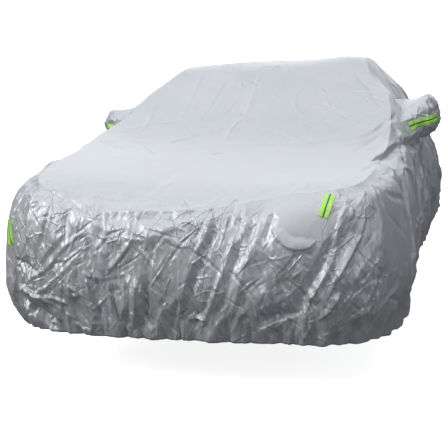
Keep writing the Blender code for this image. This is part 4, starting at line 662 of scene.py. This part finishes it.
# --------------------------------------------------------------------- pieces
def grid_mesh(name, p, skip=None):
    """Mesh of a grid of points; skip(r, c) leaves cells out."""
    rows, cols = p.shape[0] - 1, p.shape[1] - 1
    idx = np.arange((rows + 1) * (cols + 1)).reshape(rows + 1, cols + 1)
    f = np.stack([idx[:-1, :-1], idx[:-1, 1:], idx[1:, 1:], idx[1:, :-1]], -1)
    if skip is not None:
        f = f[~skip]
    else:
        f = f.reshape(-1, 4)
    v = p.reshape(-1, 3) - HELD
    used = np.zeros(len(v), bool)
    used[f] = True
    new = np.cumsum(used) - 1
    v, f = v[used], new[f]
    n = np.cross(v[f[:, 1]] - v[f[:, 0]], v[f[:, 3]] - v[f[:, 0]])
    if (n * outward(v[f].mean(1) + HELD)).sum() < 0:
        f = f[:, ::-1]
    return mesh_object(name, v, f)


def mesh_object(name, v, f):
    me = bpy.data.meshes.new(name)
    k = f.shape[1]
    me.vertices.add(len(v))
    me.vertices.foreach_set("co", np.ascontiguousarray(v, np.float32).ravel())
    me.loops.add(len(f) * k)
    me.loops.foreach_set("vertex_index", np.ascontiguousarray(f, np.int32).ravel())
    me.polygons.add(len(f))
    me.polygons.foreach_set("loop_start", np.arange(0, len(f) * k, k, dtype=np.int32))
    me.polygons.foreach_set("loop_total", np.full(len(f), k, np.int32))
    me.update(calc_edges=True)
    me.validate()
    me.polygons.foreach_set("use_smooth", np.ones(len(me.polygons), bool))
    ob = bpy.data.objects.new(name, me)
    bpy.context.collection.objects.link(ob)
    return ob


def spread(values, gap):
    """Stations at about the same distance along the widest line."""
    lo, hi = values
    u0, u1 = np.interp([lo, hi], GIRTH_T, GIRTH_U)
    n = max(2, int(round((u1 - u0) / gap)))
    return np.interp(np.linspace(u0, u1, n + 1), GIRTH_U, GIRTH_T)


def skirt_points(t, s):
    """Points of upright cloth, with the hem turned in below s = 4."""
    tt, ss = np.meshgrid(t, s)
    base = slack(skirt(tt, np.minimum(ss, 4)))
    p = relief(base, ruffle(tt, ss))
    over = np.maximum(ss - 4, 0)[..., None]
    d = outward(base)
    d[..., 2] = 0
    p = p - d * over * 0.10 + np.array([0, 0, 1.0]) * (-0.012 * np.sin(np.clip(over * 4, 0, 1) * np.pi) + over * 0.03)
    return p


def area_of(ob):
    v = np.empty(len(ob.data.vertices) * 3)
    ob.data.vertices.foreach_get("co", v)
    return sum(poly.area for poly in ob.data.polygons)

# ------------------------------------------------------------------ materials
def new_material(name):
    mat = bpy.data.materials.new(name)
    mat.use_nodes = True
    nt = mat.node_tree
    bsdf = nt.nodes["Principled BSDF"]
    return mat, nt, bsdf


def node(nt, kind, **values):
    n = nt.nodes.new(kind)
    for k, v in values.items():
        if k in n.inputs:
            n.inputs[k].default_value = v
        else:
            setattr(n, k, v)
    return n


def silver(name, stretch=(1.0, 1.0, 1.0)):
    mat, nt, bsdf = new_material(name)
    link = nt.links.new
    tc = node(nt, "ShaderNodeTexCoord")
    obj = tc.outputs["Object"]
    stretched = node(nt, "ShaderNodeMapping")
    stretched.inputs["Scale"].default_value = stretch
    link(obj, stretched.inputs["Vector"])

    # colour: a cool silver with slow warm and green drifts, like a thin coating
    drift = node(nt, "ShaderNodeTexNoise", **{"Scale": 3.1, "Detail": 3.0, "Roughness": 0.6})
    link(obj, drift.inputs["Vector"])
    ramp = node(nt, "ShaderNodeValToRGB")
    ramp.color_ramp.elements[0].position = 0.32
    ramp.color_ramp.elements[0].color = (0.545, 0.560, 0.580, 1)
    ramp.color_ramp.elements[1].position = 0.68
    ramp.color_ramp.elements[1].color = (0.585, 0.585, 0.615, 1)
    mid = ramp.color_ramp.elements.new(0.5)
    mid.color = (0.560, 0.575, 0.600, 1)
    link(drift.outputs["Fac"], ramp.inputs["Fac"])
    speck = node(nt, "ShaderNodeTexNoise", **{"Scale": 420.0, "Detail": 2.0, "Roughness": 0.7})
    link(obj, speck.inputs["Vector"])
    tone = node(nt, "ShaderNodeMapRange", **{"From Min": 0.3, "From Max": 0.7, "To Min": 0.94, "To Max": 1.05})
    link(speck.outputs["Fac"], tone.inputs["Value"])
    mul = node(nt, "ShaderNodeMix", data_type="RGBA", blend_type="MULTIPLY")
    mul.inputs["Factor"].default_value = 1.0
    link(ramp.outputs["Color"], mul.inputs["A"])
    link(tone.outputs["Result"], mul.inputs["B"])
    link(mul.outputs["Result"], bsdf.inputs["Base Color"])

    rough = node(nt, "ShaderNodeMapRange", **{"From Min": 0.3, "From Max": 0.7, "To Min": 0.43, "To Max": 0.52})
    link(drift.outputs["Fac"], rough.inputs["Value"])
    link(rough.outputs["Result"], bsdf.inputs["Roughness"])
    bsdf.inputs["Metallic"].default_value = 0.44
    bsdf.inputs["Specular IOR Level"].default_value = 0.5

    # small flat facets, thin straight creases and the grain of the coating;
    # the attribute says how crumpled the cloth is at each place
    crush = node(nt, "ShaderNodeAttribute", attribute_name="crush").outputs["Fac"]
    normal = None

    def bump(height, strength, distance, even=False):
        nonlocal normal
        n = node(nt, "ShaderNodeBump", **{"Distance": distance})
        if even:
            n.inputs["Strength"].default_value = strength
        else:
            m = node(nt, "ShaderNodeMath", operation="MULTIPLY")
            link(crush, m.inputs[0])
            m.inputs[1].default_value = strength
            link(m.outputs[0], n.inputs["Strength"])
        link(height, n.inputs["Height"])
        if normal is not None:
            link(normal, n.inputs["Normal"])
        normal = n.outputs["Normal"]

    for scale, distance, shift in ((17.0, 0.0050, 3.1), (40.0, 0.0016, 7.7)):
        far = []
        for move in (0.0, shift):
            place = node(nt, "ShaderNodeMapping")
            place.inputs["Location"].default_value = (move, move * 0.7, move * 1.3)
            place.inputs["Scale"].default_value = stretch
            link(obj, place.inputs["Vector"])
            cell = node(nt, "ShaderNodeTexVoronoi", **{"Scale": scale, "Randomness": 1.0})
            link(place.outputs["Vector"], cell.inputs["Vector"])
            square = node(nt, "ShaderNodeMath", operation="MULTIPLY")
            link(cell.outputs["Distance"], square.inputs[0])
            link(cell.outputs["Distance"], square.inputs[1])
            far.append(square.outputs[0])
        gap = node(nt, "ShaderNodeMath", operation="SUBTRACT")
        link(far[0], gap.inputs[0])
        link(far[1], gap.inputs[1])
        bump(gap.outputs[0], 1.0, distance)
    for scale, wide, distance, part in ((9.0, 0.026, 0.0034, 0.50), (21.0, 0.055, 0.0020, 0.52)):
        line = node(nt, "ShaderNodeTexVoronoi", feature="DISTANCE_TO_EDGE", **{"Scale": scale, "Randomness": 1.0})
        link(stretched.outputs["Vector"], line.inputs["Vector"])
        edge = node(nt, "ShaderNodeMapRange", **{"From Min": 0.0, "From Max": wide, "To Min": 1.0, "To Max": 0.0})
        link(line.outputs["Distance"], edge.inputs["Value"])
        some = node(nt, "ShaderNodeTexNoise", **{"Scale": scale * 0.6, "Detail": 1.0})
        link(stretched.outputs["Vector"], some.inputs["Vector"])
        shown = node(nt, "ShaderNodeMapRange", **{"From Min": part - 0.02, "From Max": part + 0.05, "To Min": 0.0, "To Max": 1.0})
        link(some.outputs["Fac"], shown.inputs["Value"])
        both = node(nt, "ShaderNodeMath", operation="MULTIPLY")
        link(edge.outputs["Result"], both.inputs[0])
        link(shown.outputs["Result"], both.inputs[1])
        bump(both.outputs[0], 0.8, distance)
    fine = node(nt, "ShaderNodeTexNoise", **{"Scale": 75.0, "Detail": 4.0, "Roughness": 0.62})
    link(stretched.outputs["Vector"], fine.inputs["Vector"])
    bump(fine.outputs["Fac"], 0.30, 0.0025)
    grain = node(nt, "ShaderNodeTexNoise", **{"Scale": 260.0, "Detail": 2.0, "Roughness": 0.6})
    link(obj, grain.inputs["Vector"])
    bump(grain.outputs["Fac"], 0.10, 0.0008, even=True)
    link(normal, bsdf.inputs["Normal"])
    return mat


def lime(name):
    """Reflective tape: u runs along it and v across, from the attribute of the mesh."""
    mat, nt, bsdf = new_material(name)
    link = nt.links.new
    at = node(nt, "ShaderNodeAttribute", attribute_name="tape")
    sep = node(nt, "ShaderNodeSeparateXYZ")
    link(at.outputs["Vector"], sep.inputs["Vector"])
    off = node(nt, "ShaderNodeMath", operation="ABSOLUTE")
    link(sep.outputs["Y"], off.inputs[0])
    line = node(nt, "ShaderNodeMapRange", interpolation_type="SMOOTHSTEP", **{"From Min": 0.11, "From Max": 0.19, "To Min": 0.0, "To Max": 1.0})
    link(off.outputs[0], line.inputs["Value"])
    tcn = node(nt, "ShaderNodeTexCoord")
    blot = node(nt, "ShaderNodeTexNoise", **{"Scale": 60.0, "Detail": 3.0})
    link(tcn.outputs["Object"], blot.inputs["Vector"])
    shade = node(nt, "ShaderNodeMix", data_type="RGBA")
    shade.inputs["A"].default_value = (0.40, 0.78, 0.12, 1)
    shade.inputs["B"].default_value = (0.52, 0.92, 0.19, 1)
    link(blot.outputs["Fac"], shade.inputs["Factor"])
    mix = node(nt, "ShaderNodeMix", data_type="RGBA")
    mix.inputs["A"].default_value = (0.045, 0.12, 0.035, 1)
    link(line.outputs["Result"], mix.inputs["Factor"])
    link(shade.outputs["Result"], mix.inputs["B"])
    link(mix.outputs["Result"], bsdf.inputs["Base Color"])
    bsdf.inputs["Roughness"].default_value = 0.42
    grain = node(nt, "ShaderNodeTexVoronoi", **{"Scale": 380.0})
    link(tcn.outputs["Object"], grain.inputs["Vector"])
    bump = node(nt, "ShaderNodeBump", **{"Strength": 0.08, "Distance": 0.0006})
    link(grain.outputs["Distance"], bump.inputs["Height"])
    link(bump.outputs["Normal"], bsdf.inputs["Normal"])
    return mat


CLOTH = silver("silver_coating", (1.0, 1.0, 0.45))
TAPE = lime("lime_tape")

# ---------------------------------------------------------------------- cloth
FINE_FRONT, FINE_SIDE, FINE_TOP, FINE_BACK, FINE_REAR = 0.0041, 0.0088, 0.0078, 0.0125, 0.0090


def mark_crush(ob):
    """How crumpled the cloth is at each place: much where it hangs, little where it lies flat."""
    me = ob.data
    n = len(me.vertices)
    co = np.zeros(n * 3, np.float32)
    me.vertices.foreach_get("co", co)
    p = co.reshape(-1, 3).astype(float) + HELD
    out = outward(p)
    amount = (0.14 + 0.86 * smooth(0.80, 0.40, out[:, 2])) * np.clip(calm(p), 0.10, 1)
    if ob.name.startswith("cloth_pocket"):
        amount[:] = 0.9
    at = me.attributes.new("crush", "FLOAT", "POINT")
    at.data.foreach_set("value", amount.astype(np.float32))


def put(ob, cad, flat, material=CLOTH):
    ob.data.materials.append(material)
    mark_crush(ob)
    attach(ob, "root")
    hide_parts(cad)
    a = area_of(ob)
    print("piece", ob.name, "area %.3f" % a, "flat %.3f" % (flat[0] * flat[1]), "quads", len(ob.data.polygons))
    return ob


hem = np.array([4.10, 4.22, 4.36, 4.5])
s_front = np.concatenate([np.linspace(0, 4, 184), hem])
s_side = np.concatenate([np.linspace(0, 4, 121), hem])

t_front = spread((0, CORNER), FINE_FRONT)
t_front = np.concatenate([-t_front[::-1], t_front[1:]])
front = grid_mesh("cloth_front", skirt_points(t_front, s_front))
put(front, "front_panel", (1.95, 0.90))

t_rear = spread((REAR, END), FINE_REAR)
t_rear = np.concatenate([t_rear, -t_rear[::-1][1:]])
rear = grid_mesh("cloth_rear", skirt_points(t_rear, s_side))
put(rear, "rear_panel", (1.55, 0.92))

SIDE_T = spread((CORNER, REAR), FINE_SIDE)
POCKET_T = (7.0, 8.0)
POCKET_S = (1 / 3, 1.0)
for sign, name in ((1, "left"), (-1, "right")):
    t = sign * SIDE_T
    k0, k1 = [int(np.argmin(np.abs(SIDE_T - x))) for x in POCKET_T]
    j0, j1 = [int(np.argmin(np.abs(s_side - x))) for x in POCKET_S]
    p = skirt_points(t, s_side)
    skip = np.zeros((len(s_side) - 1, len(t) - 1), bool)
    skip[j0:j1, k0:k1] = True
    ob = grid_mesh("cloth_side_" + name, p, skip)
    put(ob, "side_panel_" + name, (4.75, 1.12))

    # mirror pocket, from the ring of the opening outwards
    ring = np.concatenate([p[j0, k0:k1], p[j0:j1, k1], p[j1, k1:k0:-1], p[j1:j0:-1, k0]])
    mid = ring.mean(0)
    across, up = ring[:, 1] - mid[1], ring[:, 2] - mid[2]
    turn = np.arctan2(up / np.abs(up).max(), across / np.abs(across).max())
    sections = POCKETS[name]
    c, s = np.cos(turn), np.sin(turn)
    k = (np.abs(c) ** 2.6 + np.abs(s) ** 2.6) ** (-1 / 2.6)
    keys = [ring]
    for x, y, z, depth, height in sections:
        keys.append(np.stack([np.full_like(c, sign * x), y + depth * k * c, z + height * k * s], -1))
    tip = keys[-1].mean(0) + np.array([sign * POCKET_TIP, 0, 0])
    keys.append(keys[-1] * 0.12 + tip * 0.88)
    keys = np.array(keys)
    n = len(keys) - 1
    steps = np.concatenate([np.linspace(0, 1, 26), np.linspace(1, n, 12 * (n - 1) + 1)[1:]])
    body = through(keys.reshape(len(keys), -1), steps).reshape(len(steps), -1, 3)
    # wrinkles that run from the mouth to the end, and a few facets
    axis = np.array([0, sections[0][1], sections[0][2]])
    away = body - axis
    away[..., 0] *= 0.35
    away /= np.linalg.norm(away, axis=-1, keepdims=True)
    flat_p = body.reshape(-1, 3)
    h = (0.0130 * facets(flat_p * np.array([9, 26, 26]), 5) + 0.0060 * facets(flat_p * np.array([30, 60, 60]), 6)
         + 0.0012 * facets(flat_p * np.array([90, 120, 120]), 7))
    grow = smooth(0.0, 0.5, np.repeat(steps, body.shape[1]))
    body = (flat_p + away.reshape(-1, 3) * (h * grow)[:, None]).reshape(body.shape)
    body = np.concatenate([body, body[:, :1]], 1)
    rows, cols = body.shape[0] - 1, body.shape[1] - 1
    idx = np.arange((rows + 1) * cols).reshape(rows + 1, cols)
    idx = np.concatenate([idx, idx[:, :1]], 1)
    f = np.stack([idx[:-1, :-1], idx[:-1, 1:], idx[1:, 1:], idx[1:, :-1]], -1).reshape(-1, 4)
    v = body[:, :-1].reshape(-1, 3) - HELD
    nrm = np.cross(v[f[:, 1]] - v[f[:, 0]], v[f[:, 3]] - v[f[:, 0]])
    if (nrm * (v[f].mean(1) + HELD - (axis + np.array([sign * sections[0][0], 0, 0])))).sum() < 0:
        f = f[:, ::-1]
    ob = mesh_object("cloth_pocket_" + name, v, f)
    # close the end
    import bmesh
    bm = bmesh.new()
    bm.from_mesh(ob.data)
    loop = [e for e in bm.edges if e.is_boundary and (e.verts[0].co - e.verts[1].co).length < 0.02
            and abs(e.verts[0].co.x) > sections[-1][0] - 0.03]
    bmesh.ops.holes_fill(bm, edges=loop)
    for fc in bm.faces:
        fc.smooth = True
    bm.to_mesh(ob.data)
    bm.free()
    put(ob, "mirror_pocket_" + name, (0.70, 0.26) if sign > 0 else (0.60, 0.24))

# top panel, finer over the bonnet and the sloping window
nx = int(round(1.50 / FINE_TOP))
rows_top = np.concatenate([spread((CORNER, 9.3), FINE_TOP), spread((9.3, REAR), FINE_BACK)[1:]])
a, t = np.meshgrid(np.linspace(-1, 1, nx + 1), rows_top)
topp = relief(slack(top(a, t)))
ob = grid_mesh("cloth_top", topp)
put(ob, "top_panel", (1.62, 4.55))


# --------------------------------------------------------------------- strips
def strip_mesh(name, middle, axis, lay, length, width, hosts, slot):
    lay = np.array(lay) / np.linalg.norm(lay)
    e1 = np.array(axis, float)
    e1 -= lay * (e1 @ lay)
    e1 /= np.linalg.norm(e1)
    e2 = np.cross(lay, e1)
    from mathutils.bvhtree import BVHTree
    from mathutils import Vector
    trees = []
    for h in hosts:
        me = h.data
        trees.append(BVHTree.FromPolygons([v.co for v in me.vertices], [tuple(q.vertices) for q in me.polygons]))
    nu, nv = 60, 26
    drop = np.zeros((nv + 1, nu + 1))
    grid = np.zeros((nv + 1, nu + 1, 3))
    start = np.array(middle) - HELD - lay * 0.12
    for j in range(nv + 1):
        for i in range(nu + 1):
            fray = 0.0008 * np.sin(i * 1.9 + j * 0.0) * (1 if j in (0, nv) else 0)
            p = start + e1 * length * (i / nu - 0.5) + e2 * (width * (j / nv - 0.5) + fray)
            best = None
            for tr in trees:
                hit = tr.ray_cast(Vector(p), Vector(lay))
                if hit[0] is not None and (best is None or hit[3] < best):
                    best = hit[3]
            grid[j, i] = p
            drop[j, i] = best if best is not None else np.nan
    if np.isnan(drop).any():
        drop = np.where(np.isnan(drop), np.nanmean(drop), drop)
    # the tape is stiffer than the cloth: a soft floor under it, always above the cloth
    soft = drop.copy()
    for _ in range(10):
        q = np.pad(soft, 1, mode="edge")
        soft = (q[:-2, 1:-1] + q[2:, 1:-1] + q[1:-1, :-2] + q[1:-1, 2:] + 2 * soft) / 6
    low = np.minimum(soft, drop) - 0.0010
    p = grid + low[..., None] * lay
    idx = np.arange((nv + 1) * (nu + 1)).reshape(nv + 1, nu + 1)
    f = np.stack([idx[:-1, :-1], idx[:-1, 1:], idx[1:, 1:], idx[1:, :-1]], -1).reshape(-1, 4)
    v = p.reshape(-1, 3)
    nrm = np.cross(v[f[0, 1]] - v[f[0, 0]], v[f[0, 3]] - v[f[0, 0]])
    if nrm @ lay > 0:
        f = f[:, ::-1]
    ob = mesh_object(name, v, f)
    me = ob.data
    tape = me.attributes.new("tape", "FLOAT_VECTOR", "POINT")
    uu, vv = np.meshgrid(np.linspace(-1, 1, nu + 1), np.linspace(-1, 1, nv + 1))
    tape.data.foreach_set("vector", np.stack([uu, vv, uu * 0], -1).astype(np.float32).ravel())
    m = ob.modifiers.new("thickness", "SOLIDIFY")
    m.thickness = 0.0008
    m.offset = 1.0
    ob.data.materials.append(TAPE)
    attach(ob, "root")
    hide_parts(slot)
    return ob


def by_name(*names):
    return [bpy.data.objects[n] for n in names]


for name, middle, axis, lay, length, width in STRIPS:
    if name.startswith("front"):
        hosts = by_name("cloth_front", "cloth_side_left", "cloth_side_right", "cloth_top")
    else:
        hosts = by_name("cloth_pocket_" + name.split("_")[-1])
    strip_mesh("tape_" + name.replace("_strip", ""), middle, axis, lay, length, width, hosts, name)

# ---------------------------------------------------------------------- stage
GROUND = -HELD[2]


def sweep():
    """Pale floor that curves up into a backdrop far behind."""
    y = np.concatenate([[-14.0, 14.0], 14 + 6 * np.sin(np.linspace(0.1, np.pi / 2, 14)), [20.0]])
    z = np.concatenate([[0.0, 0.0], 6 - 6 * np.cos(np.linspace(0.1, np.pi / 2, 14)), [16.0]])
    x = np.linspace(-26, 26, 3)
    p = np.stack(np.broadcast_arrays(x[None], y[:, None], (z + GROUND)[:, None]), -1)
    rows, cols = p.shape[0] - 1, p.shape[1] - 1
    idx = np.arange((rows + 1) * (cols + 1)).reshape(rows + 1, cols + 1)
    f = np.stack([idx[:-1, :-1], idx[:-1, 1:], idx[1:, 1:], idx[1:, :-1]], -1).reshape(-1, 4)
    ob = mesh_object("floor", p.reshape(-1, 3), f)
    mat, nt, bsdf = new_material("pale_floor")
    bsdf.inputs["Base Color"].default_value = (0.86, 0.86, 0.87, 1)
    bsdf.inputs["Roughness"].default_value = 0.9
    bsdf.inputs["Specular IOR Level"].default_value = 0.1
    bsdf.inputs["Emission Color"].default_value = (1, 1, 1, 1)
    bsdf.inputs["Emission Strength"].default_value = FLOOR_GLOW
    ob.data.materials.append(mat)
    ob.visible_diffuse = False
    ob.visible_glossy = False
    return ob


floor = sweep()

world = bpy.data.worlds.new("studio")
bpy.context.scene.world = world
world.use_nodes = True
bg = world.node_tree.nodes["Background"]
bg.inputs["Color"].default_value = (0.80, 0.83, 0.88, 1)
bg.inputs["Strength"].default_value = WORLD_LIGHT


def area_light(name, place, aim, size, power, colour=(1, 1, 1)):
    light = bpy.data.lights.new(name, "AREA")
    light.shape = "RECTANGLE"
    light.size, light.size_y = size
    light.energy = power
    light.color = colour
    ob = bpy.data.objects.new(name, light)
    ob.location = np.array(place) - HELD
    d = np.array(aim, float) - np.array(place, float)
    from mathutils import Vector
    ob.rotation_euler = Vector(d).to_track_quat("-Z", "Y").to_euler()
    ob.visible_camera = False
    bpy.context.collection.objects.link(ob)
    return ob


for row in LIGHTS:
    area_light(*row)

# --------------------------------------------------------------------- camera
cam_data = bpy.data.cameras.new("camera")
cam = bpy.data.objects.new("camera", cam_data)
bpy.context.collection.objects.link(cam)
bpy.context.scene.camera = cam
CAMERA = dict(place=(1.4291, -5.5808, 1.5055), yaw=0.2485, pitch=0.1331, roll=-0.0107, focal=1140.2)
from mathutils import Matrix
yaw, pitch, roll = CAMERA["yaw"], CAMERA["pitch"], CAMERA["roll"]
F = np.array([-np.sin(yaw) * np.cos(pitch), np.cos(yaw) * np.cos(pitch), -np.sin(pitch)])
R = np.cross(F, [0, 0, 1])
R /= np.linalg.norm(R)
U = np.cross(R, F)
R2 = R * np.cos(roll) + U * np.sin(roll)
U2 = -R * np.sin(roll) + U * np.cos(roll)
m = Matrix.Identity(4)
for i in range(3):
    m[i][0], m[i][1], m[i][2] = R2[i], U2[i], -F[i]
    m[i][3] = (np.array(CAMERA["place"]) - HELD)[i]
cam.matrix_world = m
cam_data.sensor_fit = "HORIZONTAL"
cam_data.sensor_width = 36.0
cam_data.lens = 36.0 * CAMERA["focal"] / 448
cam_data.clip_end = 200

bpy.context.scene.view_settings.view_transform = "Standard"
bpy.context.scene.view_settings.exposure = 0.0
